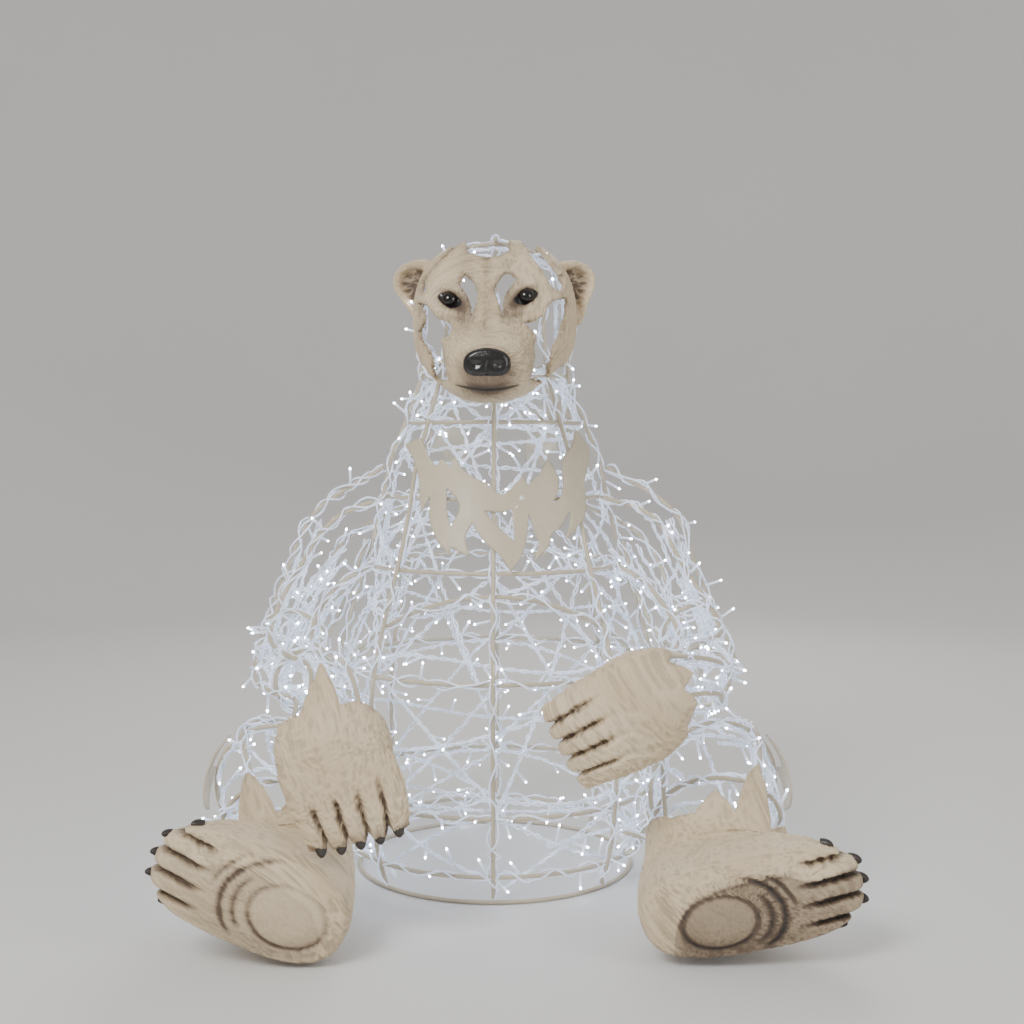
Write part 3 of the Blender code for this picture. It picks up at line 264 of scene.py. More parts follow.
# Round each eye, outward and up from it: height, middle and half size across, middle and half size up
EYE_FORMS = (
    (-0.0052, 0.001, 0.024, 0.0165, 0.0072), (-0.0026, 0.002, 0.019, -0.0160, 0.0048),
    (0.0016, 0.0, 0.024, -0.0240, 0.0030), (-0.0046, 0.006, 0.026, -0.040, 0.016),
)
# Dark round each eye, outward and up from it: darkness, middle and half size across, middle and half size up;
# the almond is black paint, the patch below the eye and the line under the bottom lid are painted shade
EYE_PAINT_AND_SHADE = (
    (1.05, 0.0, 0.0200, 0.0, 0.0145), (0.42, -0.018, 0.013, -0.014, 0.020),
    (0.30, 0.0, 0.022, -0.0240, 0.0035),
)
BROW_MIDDLE = -0.0085
NOSE_MIDDLE = (-0.0067, 0.7425)
NOSTRIL_STEP = 0.0145
EAR_PLACE = (0.113, -0.066, 0.867)
EAR_TURN = math.radians(14)
EAR_ROLL = math.radians(8)
# Ear outline, as seen from the front: outward and up from the ear's place
EAR_EDGE = (
    (-0.026, 0.028), (0.000, 0.033), (0.018, 0.028), (0.030, 0.017), (0.034, 0.003), (0.029, -0.013),
    (0.019, -0.031), (0.010, -0.049), (0.002, -0.060), (-0.007, -0.052), (-0.013, -0.012),
)
EAR_MIDDLE = (0.008, 0.004)
# From the ear's back over its rim into its bowl: step, share of the outline, how far back
EAR_PROFILE = (
    (0.0, 0.00, 0.0140), (1.0, 0.72, 0.0110), (2.0, 1.00, 0.0020), (2.6, 0.94, -0.0070),
    (3.3, 0.72, -0.0045), (4.2, 0.42, 0.0050), (5.0, 0.00, 0.0060),
)
# Mask openings, as seen from the front: x and z of each corner
MASK_OPENINGS = (
    ((-0.106, 0.833), (-0.097, 0.803), (-0.105, 0.792), (-0.088, 0.757), (-0.078, 0.722), (-0.058, 0.722),
     (-0.068, 0.761), (-0.070, 0.778), (-0.059, 0.781), (-0.058, 0.802), (-0.080, 0.812), (-0.092, 0.827)),
    ((0.104, 0.842), (0.104, 0.829), (0.096, 0.795), (0.084, 0.766), (0.070, 0.722), (0.050, 0.722),
     (0.057, 0.757), (0.055, 0.767), (0.058, 0.780), (0.041, 0.801), (0.068, 0.812), (0.078, 0.830)),
    ((-0.041, 0.872), (-0.048, 0.856), (-0.039, 0.844), (-0.033, 0.829), (-0.029, 0.808), (-0.022, 0.834),
     (-0.022, 0.849), (-0.031, 0.864)),
    ((0.019, 0.873), (0.005, 0.859), (0.002, 0.846), (0.009, 0.822), (0.014, 0.806), (0.016, 0.838),
     (0.024, 0.851), (0.035, 0.864)),
    ((-0.046, 0.938), (-0.056, 0.925), (-0.085, 0.885), (-0.106, 0.858), (-0.100, 0.845), (-0.095, 0.848),
     (-0.095, 0.864), (-0.065, 0.902), (-0.038, 0.936)),
    ((0.036, 0.940), (0.048, 0.934), (0.080, 0.895), (0.101, 0.864), (0.096, 0.847), (0.083, 0.852),
     (0.064, 0.882), (0.050, 0.902)),
    ((-0.040, 0.945), (-0.037, 0.906), (-0.010, 0.896), (0.020, 0.905), (0.018, 0.945)),
)
# The open underside behind the chin, as seen from the side: y and z
THROAT = ((-0.172, 0.600), (-0.172, 0.716), (-0.135, 0.747), (0.050, 0.747), (0.050, 0.600))

# Flame-cut plates: x and z of each tip and notch from the front, y and z from the side for the knees
COLLAR_EDGE = (
    (-0.126, 0.635), (-0.103, 0.644), (-0.085, 0.609), (-0.078, 0.604), (-0.073, 0.616),
    (-0.059, 0.603), (-0.055, 0.619), (-0.044, 0.602), (-0.030, 0.591), (-0.010, 0.581),
    (0.012, 0.566), (0.025, 0.575), (0.040, 0.592), (0.047, 0.578), (0.062, 0.593),
    (0.075, 0.616), (0.090, 0.584), (0.088, 0.566), (0.080, 0.551), (0.094, 0.563),
    (0.097, 0.616), (0.109, 0.632), (0.115, 0.656), (0.127, 0.640), (0.135, 0.626),
    (0.127, 0.583), (0.127, 0.534), (0.117, 0.520), (0.099, 0.501), (0.107, 0.534),
    (0.105, 0.542), (0.090, 0.517), (0.081, 0.512), (0.076, 0.495), (0.055, 0.474),
    (0.062, 0.498), (0.056, 0.516), (0.048, 0.540), (0.046, 0.512), (0.039, 0.484),
    (0.024, 0.461), (0.010, 0.482), (-0.013, 0.502), (-0.029, 0.526), (-0.038, 0.509),
    (-0.032, 0.481), (-0.059, 0.493), (-0.060, 0.483), (-0.077, 0.501), (-0.088, 0.530),
    (-0.088, 0.563), (-0.101, 0.540), (-0.105, 0.588), (-0.114, 0.616),
)
COLLAR_HOLES = (
    ((-0.065, 0.575), (-0.047, 0.550), (-0.059, 0.520), (-0.064, 0.540)),
    ((-0.013, 0.543), (0.016, 0.542), (0.025, 0.546), (0.029, 0.502), (0.011, 0.517)),
)
NAPE_EDGE = (
    (0.046, 0.598), (0.060, 0.618), (0.074, 0.600), (0.088, 0.626), (0.106, 0.618),
    (0.114, 0.672), (0.098, 0.700), (0.070, 0.694), (0.052, 0.664),
)
KNEE_EDGE = (
    (-0.232, 0.152), (-0.216, 0.200), (-0.186, 0.236), (-0.192, 0.192), (-0.166, 0.186),
    (-0.190, 0.160), (-0.208, 0.136),
)

# Camera read from the photograph: place, lens on its sensor in mm, pitch below level
CAMERA_PLACE = (0.0058, -2.002, 0.640)
CAMERA_LENS = 49.22
SENSOR_WIDTH = 36.0
CAMERA_PITCH = math.radians(2.9)
# Round studio wall: radius where it leaves the floor, radius of its bend, its top
WALL_FOOT = 3.2
WALL_BEND = 1.8
WALL_TOP = 4.2
WALL_SIDES = 96
SKY_COLOUR = (0.60, 0.59, 0.58, 1.0)
SKY_STRENGTH = 0.85
# Soft lights: name, place, what they point at, width, power
LIGHTS = (
    ("key_light", (-1.5, -2.6, 2.6), (0.0, 0.0, 0.45), 1.5, 92.0),
    ("fill_light", (2.3, -2.0, 1.5), (0.0, 0.0, 0.40), 1.8, 26.0),
    ("back_light", (0.6, 2.6, 2.4), (0.0, 0.1, 0.50), 1.6, 34.0),
)


# Curves and skins

def through(stations, at):
    """Smooth curve through the stations, whose first column is the place along it: Hermite pieces with
    slopes taken from the neighbours."""
    table = np.asarray(stations, float)
    knots, values = table[:, 0], table[:, 1:]
    slopes = np.gradient(values, knots, axis=0)
    at = np.clip(np.asarray(at, float), knots[0], knots[-1])
    left = np.clip(np.searchsorted(knots, at, side="right") - 1, 0, len(knots) - 2)
    width = (knots[left + 1] - knots[left])[..., None]
    s = (at[..., None] - knots[left][..., None]) / width
    return hermite(s, values[left], values[left + 1], width * slopes[left], width * slopes[left + 1])


def circle(count):
    """Even turns round a full circle."""
    return np.arange(count) * 2 * math.pi / count


def hermite(s, start, end, leave, arrive):
    """The cubic from start to end with given slopes: 2s^3-3s^2+1 and s^3-2s^2+s, and their mirrors."""
    first = (1 + 2 * s) * (1 - s) ** 2 * start + s * (1 - s) ** 2 * leave
    return first + s * s * (3 - 2 * s) * end + s * s * (s - 1) * arrive


def unit(vectors):
    """Vectors divided by their own length."""
    return vectors / (np.linalg.norm(vectors, axis=-1, keepdims=True) + 1e-12)


def smooth(edge_low, edge_high, value):
    """0 below the first edge, 1 above the second, 3t^2-2t^3 between them."""
    t = np.clip((value - edge_low) / (edge_high - edge_low), 0, 1)
    return t * t * (3 - 2 * t)


def bell(value, width):
    """exp(-(value/width)^2)."""
    return np.exp(-((value / width) ** 2))


def trunk_point(turn, height):
    """The trunk's skin: an ellipse at each height, (w sin turn, y0 - d cos turn, height)."""
    turn, height = np.broadcast_arrays(np.asarray(turn, float), np.asarray(height, float))
    size = through(TRUNK, height)
    x = size[..., 0] * np.sin(turn)
    y = size[..., 2] - size[..., 1] * np.cos(turn)
    return np.stack([x, y, height], axis=-1)


def trunk_skin(turn, height, outward=0.0):
    """The trunk's skin moved outward along its own normal."""
    small = 0.002
    sideways = trunk_point(turn + small, height) - trunk_point(turn - small, height)
    upwards = trunk_point(turn, height + small) - trunk_point(turn, height - small)
    return trunk_point(turn, height) + np.asarray(outward)[..., None] * unit(np.cross(sideways, upwards))


def limb_frame(limb, place):
    """Centre, direction along, across and through the thickness, and half sizes of a limb."""
    row = through(limb, place)
    small = 0.02
    along = unit(through(limb, place + small)[..., :3] - through(limb, place - small)[..., :3])
    across = row[..., 5:8]
    across = unit(across - (across * along).sum(-1, keepdims=True) * along)
    thick = np.cross(across, along)
    return row[..., :3], along, across, thick, row[..., 3:5]


def limb_skin(limb, place, turn, outward=0.0):
    """The limb's skin: an ellipse round its centre line, c + a cos turn across + b sin turn thick."""
    place, turn = np.broadcast_arrays(np.asarray(place, float), np.asarray(turn, float))
    centre, _, across, thick, half = limb_frame(limb, place)
    wide = (half[..., 0] + outward) * np.cos(turn)
    deep = (half[..., 1] + outward) * np.sin(turn)
    return centre + wide[..., None] * across + deep[..., None] * thick


def chance(cells, seed):
    """A fixed random number from 0 to 1 for each whole-numbered cell: the fraction of a large sine."""
    value = np.sin(cells @ np.array([127.1, 311.7, 74.7]) + seed * 17.3) * 43758.5453
    return value - np.floor(value)


def noise(points, seed=0):
    """Smooth random field from -1 to 1: the eight corner numbers of a point's cell, blended by 3t^2-2t^3."""
    base = np.floor(points)
    t = points - base
    t = t * t * (3 - 2 * t)
    total = np.zeros(points.shape[:-1])
    for corner in range(8):
        step = np.array([corner & 1, corner >> 1 & 1, corner >> 2 & 1])
        total += np.prod(np.where(step == 1, t, 1 - t), axis=-1) * chance(base + step, seed)
    return 2 * total - 1


def fur(along, sideways, seed=0):
    """Carved fur from 0 to 1: ridges 1-|noise| twice as long as wide, in two sizes, bent by slow noise."""
    bend = 0.006 * noise(np.stack([along / 0.03, sideways / 0.03, np.zeros_like(along)], -1), seed + 5)
    total = 0.0
    for size, weight in ((0.0050, 0.60), (0.0033, 0.40)):
        spot = np.stack([along / (size * 2), (sideways + bend) / size, np.full_like(along, size * 900)], -1)
        total = total + weight * (1 - np.abs(noise(spot, seed)) * 2.0)
    return np.clip(total, 0, 1)


def path_frame(path):
    """Tangents and two side directions of a path, steadied by the axis that it never follows."""
    along = unit(np.gradient(path, axis=0))
    choices = unit(np.array([[1, 0, 0], [0, 1, 0], [0, 0, 1], [1, 1, 0], [1, -1, 0], [0, 1, 1], [1, 0, 1.0]]))
    steady = choices[np.argmin(np.abs(along @ choices.T).max(0))]
    side = unit(np.cross(along, steady))
    return along, side, np.cross(along, side)


def resample(points, spacing, closed=False):
    """A smooth curve through the points, by the length walked along them, cut into even steps."""
    points = np.asarray(points, float)
    if closed:
        points = np.concatenate([points[-3:], points, points[:4]])
    walked = np.append(0, np.cumsum(np.linalg.norm(np.diff(points, axis=0), axis=1)))
    table = np.column_stack([walked, points])
    start, end = (walked[3], walked[-4]) if closed else (0, walked[-1])
    count = max(int(math.ceil((end - start) / spacing)), 3)
    return through(table, np.linspace(start, end, count + 1)[: count if closed else None])


# Meshes

class Shape:
    """Points and faces being gathered for one piece, with a number for each point."""

    def __init__(self):
        self.points, self.faces, self.values, self.looks = [], [], [], []
        self.count = 0

    def add(self, points, faces, value=0.0, look=0):
        points = np.asarray(points, float).reshape(-1, 3)
        self.points.append(points)
        self.values.append(np.broadcast_to(np.asarray(value, float).ravel(), (len(points),)))
        for group in faces:
            if len(group):
                self.faces.append(np.asarray(group) + self.count)
                self.looks.append(np.broadcast_to(np.asarray(look), (len(group),)))
        self.count += len(points)

    def mesh(self, name):
        mesh = bpy.data.meshes.new(name)
        points = np.concatenate(self.points) + SHIFT
        loops = np.concatenate([group.ravel() for group in self.faces])
        sizes = np.concatenate([np.full(len(group), group.shape[1]) for group in self.faces])
        mesh.vertices.add(len(points))
        mesh.vertices.foreach_set("co", points.astype(np.float32).ravel())
        mesh.loops.add(len(loops))
        mesh.loops.foreach_set("vertex_index", loops.astype(np.int32))
        mesh.polygons.add(len(sizes))
        mesh.polygons.foreach_set("loop_start", np.append(0, np.cumsum(sizes)[:-1]).astype(np.int32))
        mesh.polygons.foreach_set("material_index", np.concatenate(self.looks).astype(np.int32))
        mesh.update(calc_edges=True)
        store = mesh.attributes.new("shade", "FLOAT", "POINT")
        store.data.foreach_set("value", np.concatenate(self.values).astype(np.float32))
        mesh.shade_smooth()
        return mesh


def grid_faces(rows, count, round_it=True, flip=False):
    """The quads between neighbouring points of a grid, closed round its rows where asked."""
    steps = count if round_it else count - 1
    row, step = np.meshgrid(np.arange(rows - 1), np.arange(steps), indexing="ij")
    after = (step + 1) % count
    quads = np.stack([row * count + step, row * count + after, (row + 1) * count + after,
                      (row + 1) * count + step], -1).reshape(-1, 4)
    return quads[:, ::-1] if flip else quads


def end_fans(rows, count):
    """Triangles from a grid's first row to the point after the grid, and from its last row to the next."""
    step = np.arange(count)
    after, last = (step + 1) % count, (rows - 1) * count
    return [np.stack([after, step, np.full(count, rows * count)], -1),
            np.stack([last + step, last + after, np.full(count, rows * count + 1)], -1)]


def sweep(shape, path, radius, sides, closed=False, value=0.0, look=0):
    """A round tube: c(s) + r (cos u side + sin u other), with a domed pole at each open end."""
    path = np.asarray(path, float)
    turns = circle(sides)
    if closed:
        padded = np.concatenate([path[-1:], path, path[:1]])
        along, side, other = (part[1:-1] for part in path_frame(padded))
    else:
        along, side, other = path_frame(path)
    ring = np.cos(turns)[None, :, None] * side[:, None] + np.sin(turns)[None, :, None] * other[:, None]
    points = path[:, None] + radius * ring
    rows = len(path)
    quads = grid_faces(rows, sides)
    if closed:
        step = np.arange(sides)
        after = (step + 1) % sides
        last = (rows - 1) * sides
        quads = np.concatenate([quads, np.stack([last + step, last + after, after, step], -1)])
        shape.add(points, [quads], value, look)
        return
    dome = DOME * radius
    poles = np.stack([path[0] - along[0] * dome, path[-1] + along[-1] * dome])
    shape.add(np.concatenate([points.reshape(-1, 3), poles]), [quads, *end_fans(rows, sides)], value, look)


def scatter(shape, profile, sides, places, directions, value=0.0, looks=None):
    """The same turned shape at many places: profile radius and height about each direction."""
    profile = np.asarray(profile, float)
    turns = circle(sides)
    helper = np.where(np.abs(directions[:, 2:]) < 0.9, [[0.0, 0.0, 1.0]], [[1.0, 0.0, 0.0]])
    side = unit(np.cross(directions, helper))
    other = np.cross(directions, side)
    ring = np.cos(turns)[None, :, None] * side[:, None] + np.sin(turns)[None, :, None] * other[:, None]
    points = (places[:, None, None] + profile[None, :, 0, None, None] * ring[:, None]
              + profile[None, :, 1, None, None] * directions[:, None, None])
    rows = len(profile)
    quads = grid_faces(rows, sides)
    step = np.arange(sides)
    after = (step + 1) % sides
    caps = [after[::-1], step + (rows - 1) * sides]
    base = (np.arange(len(places)) * rows * sides)[:, None, None]
    all_quads = (quads[None] + base).reshape(-1, 4)
    look = np.zeros(len(quads), int) if looks is None else np.repeat(looks, sides)
    shape.add(points, [all_quads], value, np.tile(look, len(places)))
    for cap, kind in zip(caps, (look[0], look[-1])):
        group = (cap[None] + base[:, :, 0]).reshape(-1, sides)
        shape.faces.append(group + shape.count - points.size // 3)
        shape.looks.append(np.full(len(group), kind))


def look_named(maker):
    """The material that a maker gives, made once."""
    if maker.__name__ not in look_named.made:
        look_named.made[maker.__name__] = maker(bpy.context.scene.bear_colours)
    return look_named.made[maker.__name__]


look_named.made = {}


def finish_piece(name, shape, makers, nodes, weld=False):
    """Makes the object of a gathered shape, riding on the bear in place of its CAD nodes."""
    mesh = shape.mesh(name)
    if weld:
        work = bmesh.new()
        work.from_mesh(mesh)
        bmesh.ops.remove_doubles(work, verts=work.verts, dist=2e-6)
        bmesh.ops.recalc_face_normals(work, faces=work.faces)
        work.to_mesh(mesh)
        work.free()
        mesh.shade_smooth()
    for maker in makers:
        mesh.materials.append(look_named(maker))
    piece = bpy.data.objects.new(name, mesh)
    bpy.context.scene.collection.objects.link(piece)
    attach(piece, "root")
    if nodes:
        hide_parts(*nodes)
    return piece


def grid_normals(points):
    """Outward unit normals of a grid whose rows run front to back and whose columns go round."""
    padded = np.concatenate([points[:, -1:], points, points[:, :1]], axis=1)
    sideways = padded[:, 2:] - padded[:, :-2]
    onward = np.gradient(points, axis=0)
    return unit(np.cross(sideways, onward))


def inside(outline, u, v):
    """Whether points lie inside a closed outline, by counting the edges to their right."""
    corners = np.asarray(outline, float)
    after = np.roll(corners, -1, axis=0)
    odd = np.zeros(u.shape, bool)
    for (u0, v0), (u1, v1) in zip(corners, after):
        if v0 != v1:
            odd ^= ((v0 > v) != (v1 > v)) & (u < (u1 - u0) * (v - v0) / (v1 - v0) + u0)
    return odd


def to_edge(outline, u, v):
    """The step from each point to the nearest point of the outline."""
    corners = np.asarray(outline, float)
    spot = np.stack([u, v], -1)
    best, step = np.full(u.shape, 1e9), np.zeros(spot.shape)
    for start, end in zip(corners, np.roll(corners, -1, axis=0)):
        share = np.clip(((spot - start) @ (end - start)) / ((end - start) @ (end - start)), 0, 1)
        away = start + share[..., None] * (end - start) - spot
        length = np.linalg.norm(away, axis=-1)
        step = np.where((length < best)[..., None], away, step)
        best = np.minimum(best, length)
    return step


def cut(points, normals, quads, axes, outline, keep_inside):
    """Drops the quads on the wrong side of an outline and slides the new rim's points onto it."""
    i, j = axes
    middle = points[quads].mean(1)
    keep = inside(outline, middle[:, i], middle[:, j]) == keep_inside
    rim = np.intersect1d(np.unique(quads[keep]), np.unique(quads[~keep]))
    if len(rim):
        k = 3 - i - j
        step = to_edge(outline, points[rim, i], points[rim, j])
        step *= np.minimum(1, 0.004 / (np.linalg.norm(step, axis=1, keepdims=True) + 1e-9))
        facing = normals[rim, k]
        safe = np.where(np.abs(facing) > 0.3, facing, np.inf)
        points[rim, i] += step[:, 0]
        points[rim, j] += step[:, 1]
        points[rim, k] -= (normals[rim, i] * step[:, 0] + normals[rim, j] * step[:, 1]) / safe
    return quads[keep]


def rim_walls(points, normals, quads, wall):
    """Strips from each open edge of the quads inward along the normals, and the points they add."""
    edges = np.concatenate([quads[:, [a, (a + 1) % 4]] for a in range(4)])
    key = np.sort(edges, axis=1)
    _, index, count = np.unique(key, axis=0, return_index=True, return_counts=True)
    open_edges = edges[index[count == 1]]
    used, where = np.unique(open_edges, return_inverse=True)
    where = where.reshape(open_edges.shape) + len(points)
    inner = points[used] - normals[used] * wall
    strips = np.stack([open_edges[:, 1], open_edges[:, 0], where[:, 0], where[:, 1]], -1)
    return inner, strips


def curved(outline, steps=7):
    """An outline whose edges are cubic Hermite pieces: gentle corners take the mean direction of their
    two edges, and sharp tips keep the direction of each edge."""
    corners = np.asarray(outline, float)
    edge = np.roll(corners, -1, axis=0) - corners
    length = np.linalg.norm(edge, axis=1, keepdims=True)
    onward = edge / length
    before = np.roll(onward, 1, axis=0)
    gentle = (onward * before).sum(1, keepdims=True) > 0.2
    mean = unit(onward + before)
    leave = np.where(gentle, mean, onward) * length
    arrive = np.where(np.roll(gentle, -1, axis=0), np.roll(mean, -1, axis=0), onward) * length
    s = (np.arange(steps) / steps)[None, :, None]
    after = np.roll(corners, -1, axis=0)
    return hermite(s, corners[:, None], after[:, None], leave[:, None], arrive[:, None]).reshape(-1, 2)


# Materials

class Wire:
    """One value inside a material; sums, products and powers of it add their Math nodes."""

    def __init__(self, tree, socket):
        self.tree, self.socket = tree, socket

    def join(self, kind, settings, values, out=0):
        """Adds any node: its settings first, then the values or wires of its sockets."""
        node = self.tree.nodes.new(kind)
        for name, value in settings.items():
            setattr(node, name, value)
        for name, value in values.items():
            if isinstance(value, Wire):
                self.tree.links.new(value.socket, node.inputs[name])
            else:
                node.inputs[name].default_value = value
        return Wire(self.tree, node.outputs[out])

    def math(self, operation, first, second):
        return self.join("ShaderNodeMath", {"operation": operation}, {0: first, 1: second})

    def __add__(self, other):
        return self.math("ADD", self, other)

    def __radd__(self, other):
        return self.math("ADD", other, self)

    def __sub__(self, other):
        return self.math("SUBTRACT", self, other)

    def __mul__(self, other):
        return self.math("MULTIPLY", self, other)

    def __pow__(self, other):
        return self.math("POWER", self, other)

    def limited(self):
        """This value held between 0 and 1."""
        return self.join("ShaderNodeClamp", {}, {"Value": self})

    def noise(self, scale, detail=2.0, roughness=0.5):
        """Noise from 0 to 1 at this place."""
        return self.join("ShaderNodeTexNoise", {}, {
            "Vector": self, "Scale": scale, "Detail": detail, "Roughness": roughness}, "Fac")

    def stretched(self, scale):
        """This place stretched by three factors."""
        return self.join("ShaderNodeMapping", {}, {"Vector": self, "Scale": scale})

    def blend(self, first, second):
        """A colour between two by this value."""
        return self.join("ShaderNodeMix", {"data_type": "RGBA"}, {0: self, 6: first, 7: second}, 2)


def material(name, **fixed):
    """A new material: its shader, a wire of the place on the object, and a wire of the shade stored there."""
    look = bpy.data.materials.new(name)
    look.use_nodes = True
    tree = look.node_tree
    shader = tree.nodes["Principled BSDF"]
    for socket, value in fixed.items():
        shader.inputs[socket.replace("_", " ")].default_value = value
    seed = Wire(tree, None)
    place = seed.join("ShaderNodeTexCoord", {}, {}, "Object")
    shade = seed.join("ShaderNodeAttribute", {"attribute_name": "shade"}, {}, "Fac")
    return look, shader, place, shade


def feed(shader, socket, wire):
    """Leads a wire into one of the shader's sockets."""
    wire.tree.links.new(wire.socket, shader.inputs[socket])


def bumped(shader, height, strength, distance):
    """Height as bump on the shader's normal."""
    node = height.join("ShaderNodeBump", {}, {"Height": height, "Strength": strength, "Distance": distance})
    feed(shader, "Normal", node)


def paint_look(colours):
    """Satin powder coat: slow colour drift, dust in random patches, fine orange peel."""
    look, shader, place, _ = material("cream_powder_coat", Roughness=0.42, Coat_Weight=0.05)
    slow = place.noise(9.0, 3.0)
    fine = place.noise(620.0, 2.0)
    base = slow.blend((*colours.paint, 1), (*colours.paint_worn, 1))
    grime = (place.noise(48.0, 4.0, 0.65) * 1.6 - 0.62).limited() * 0.30
    feed(shader, "Base Color", grime.blend(base, (*colours.grime, 1)))
    feed(shader, "Roughness", 0.34 + slow * 0.14 + grime * 0.4)
    bumped(shader, fine + place.noise(1500.0, 1.0) * 0.4, 0.18, 0.0004)
    return look


def resin_look(colours):
    """Painted resin: cream hair tips, brown wash mixed with painted shade in the carving, near black painted
    shade in the deepest creases, black gloss where the shade passes 2.
    """
    look, shader, place, shade = material("painted_resin", Roughness=0.6)
    slow = place.noise(14.0, 3.0)
    speck = place.noise(210.0, 3.0, 0.6)
    hair = place.stretched((1.0, 1.0, 0.5)).noise(520.0, 2.0, 0.6)
    base = (slow * 1.5 - 0.25).limited().blend((*colours.resin, 1), (*colours.resin_light, 1))
    # Brown wash and painted shade, by the stored shade with mottling
    wash_and_shade = (shade + (speck - 0.5) * 0.26 + (hair - 0.5) * 0.30 + (slow - 0.5) * 0.22).limited()
    toned = (wash_and_shade ** 1.15).blend(base, (*colours.wash_and_shade, 1))
    # Near black where the stored shade is deepest: painted shade in the deepest creases, and the dark paint
    # of claws and eye rims
    deep = (shade - 0.80).limited() * 1.4
    toned = deep.limited().blend(toned, (*colours.deep_paint_and_crease_shade, 1))
    ink = (shade * 2.2 - 3.0).limited()
    feed(shader, "Base Color", ink.blend(toned, (*colours.ink, 1)))
    feed(shader, "Roughness", 0.60 + speck * 0.10 - ink * 0.46)
    feed(shader, "Coat Weight", ink * 0.55)
    bumped(shader, hair * 0.8 + speck * 0.5 + place.noise(900.0, 1.0) * 0.3, 0.40, 0.0012)
    return look


def eye_look(colours):
    """Glossy dark glass with a brown iris ring and a black middle."""
    look, shader, place, shade = material("eye_gloss", Roughness=0.10, Coat_Weight=0.15)
    fleck = place.noise(900.0, 2.0)
    brown = fleck.blend((0.010, 0.006, 0.004, 1), (0.005, 0.003, 0.003, 1))
    feed(shader, "Base Color", shade.limited().blend((0.002, 0.002, 0.002, 1), brown))
    return look


def cable_look(colours):
    """Clear cable with a painted glow: emission that wanders along it and fades between the lamps, standing
    in for their light inside it.
    """
    look, shader, place, _ = material("clear_cable", Roughness=0.16, Coat_Weight=0.5, Emission_Strength=1.0)
    slow = place.noise(26.0, 3.0, 0.6)
    fine = place.noise(240.0, 2.0, 0.6)
    feed(shader, "Base Color", fine.blend((0.50, 0.53, 0.58, 1), (0.86, 0.88, 0.92, 1)))
    # Painted glow of the lamps' light along the cable
    power = (slow * 2.2 - 0.55).limited() * (0.45 + fine * 0.9)
    feed(shader, "Emission Color", power.limited().blend((0.10, 0.125, 0.17, 1), (*colours.glow, 1)))
    bumped(shader, fine, 0.3, 0.0006)
    return look


def socket_look(colours):
    """Clear moulded lamp stick with a painted glow of its lamp's light, brighter towards its tip, with faint
    rings from moulding.
    """
    look, shader, place, shade = material(
        "lamp_stick", Roughness=0.12, Coat_Weight=0.6, Emission_Strength=1.6)
    fine = place.noise(420.0, 2.0)
    feed(shader, "Base Color", fine.blend((0.62, 0.66, 0.72, 1), (0.92, 0.94, 0.97, 1)))
    # Painted glow by the stored glow along the stick
    power = (shade * shade * 0.9 + 0.12 + (fine - 0.5) * 0.22).limited()
    feed(shader, "Emission Color", power.blend((0.03, 0.04, 0.06, 1), (*colours.glow, 1)))
    return look


def lamp_look(colours):
    """The lamp's bright tip, whiter in its middle."""
    look, shader, place, _ = material("lamp_tip", Roughness=0.2, Emission_Strength=24.0)
    fine = place.noise(300.0, 1.0)
    feed(shader, "Base Color", fine.blend((0.80, 0.85, 0.92, 1), (0.95, 0.97, 1.0, 1)))
    feed(shader, "Emission Color", fine.blend((*colours.glow, 1), (0.86, 0.92, 1.0, 1)))
    return look


def floor_look(colours):
    """Pale floor with a slow drift to a slightly darker tone."""
    look, shader, place, _ = material("plain_floor", Roughness=0.7)
    darker = (*(0.96 * part for part in colours.floor), 1)
    feed(shader, "Base Color", place.noise(1.2, 2.0).blend((*colours.floor, 1), darker))
    return look


# Rods

def skull_ring(turn):
    """The hoop behind the mask's rim: an upright oval, taller above than below its widest height."""
    turn = np.asarray(turn, float)
    depth, middle, half, top, bottom, widest = HEAD[0]
    reach = np.where(np.cos(turn) > 0, top - widest, widest - bottom)
    x = middle + (half - SKULL_HOOP_INSET) * np.sin(turn)
    z = widest + (reach - SKULL_HOOP_INSET) * np.cos(turn)
    return np.stack([x, np.full_like(x, MASK_RIM + ROD_RADIUS + TOUCH_GAP), z], axis=-1)


def trunk_rods():
    """Paths of the trunk's hoops, arch and ribs by CAD node: points, and whether the rod is closed."""
    rods = {}
    turns = circle(48)
    base = trunk_point(turns, 0.0) * (1 - ROD_STEP / TRUNK[0][1]) + [0.0, 0.0, ROD_RADIUS]
    base[:, 1] += TRUNK[0][3] * ROD_STEP / TRUNK[0][1]
    rods["base_hoop"] = base, True
    for name, height in HOOP_HEIGHTS.items():
        rods[name] = trunk_skin(turns, height, -ROD_STEP), True
    turns_up = np.linspace(-ARCH_REACH, ARCH_REACH, 25)
    arch = ARCH_CROWN - ARCH_DROP * (turns_up / ARCH_REACH) ** 2
    rods["belly_arch"] = trunk_skin(turns_up, arch, -ROD_STEP), False
    rods["skull_hoop"] = skull_ring(turns), True
    crown = skull_ring(0.0)
    for step, name in enumerate(RIB_NAMES):
        turn = step * RIB_TURN
        side = 1 if turn < math.pi else -1
        points = list(trunk_skin(turn, np.linspace(RIB_FOOT, RIB_TOPS[step], 40)))
        if name == "back_rib":
            points += [crown + [0.0, back, up] for back, up in CROWN_HOOK]
        elif name in ("back_left_rib", "back_right_rib"):
            points.append(skull_ring(side * BACK_CROWN_TURN) + [0.0, ROD_STEP, 0.0])
        elif name in ("left_rib", "right_rib"):
            points.append(skull_ring(side * SIDE_CROWN_TURN) + [0.0, ROD_STEP, 0.0])
        rods[name] = np.array(points), False
    return rods


def limb_turns(side, kind, turns):
    """Turns round a limb as the CAD counts them: mirrored on the bear's left."""
    if side == "right":
        return turns
    return math.pi - turns if kind == "arm" else -turns


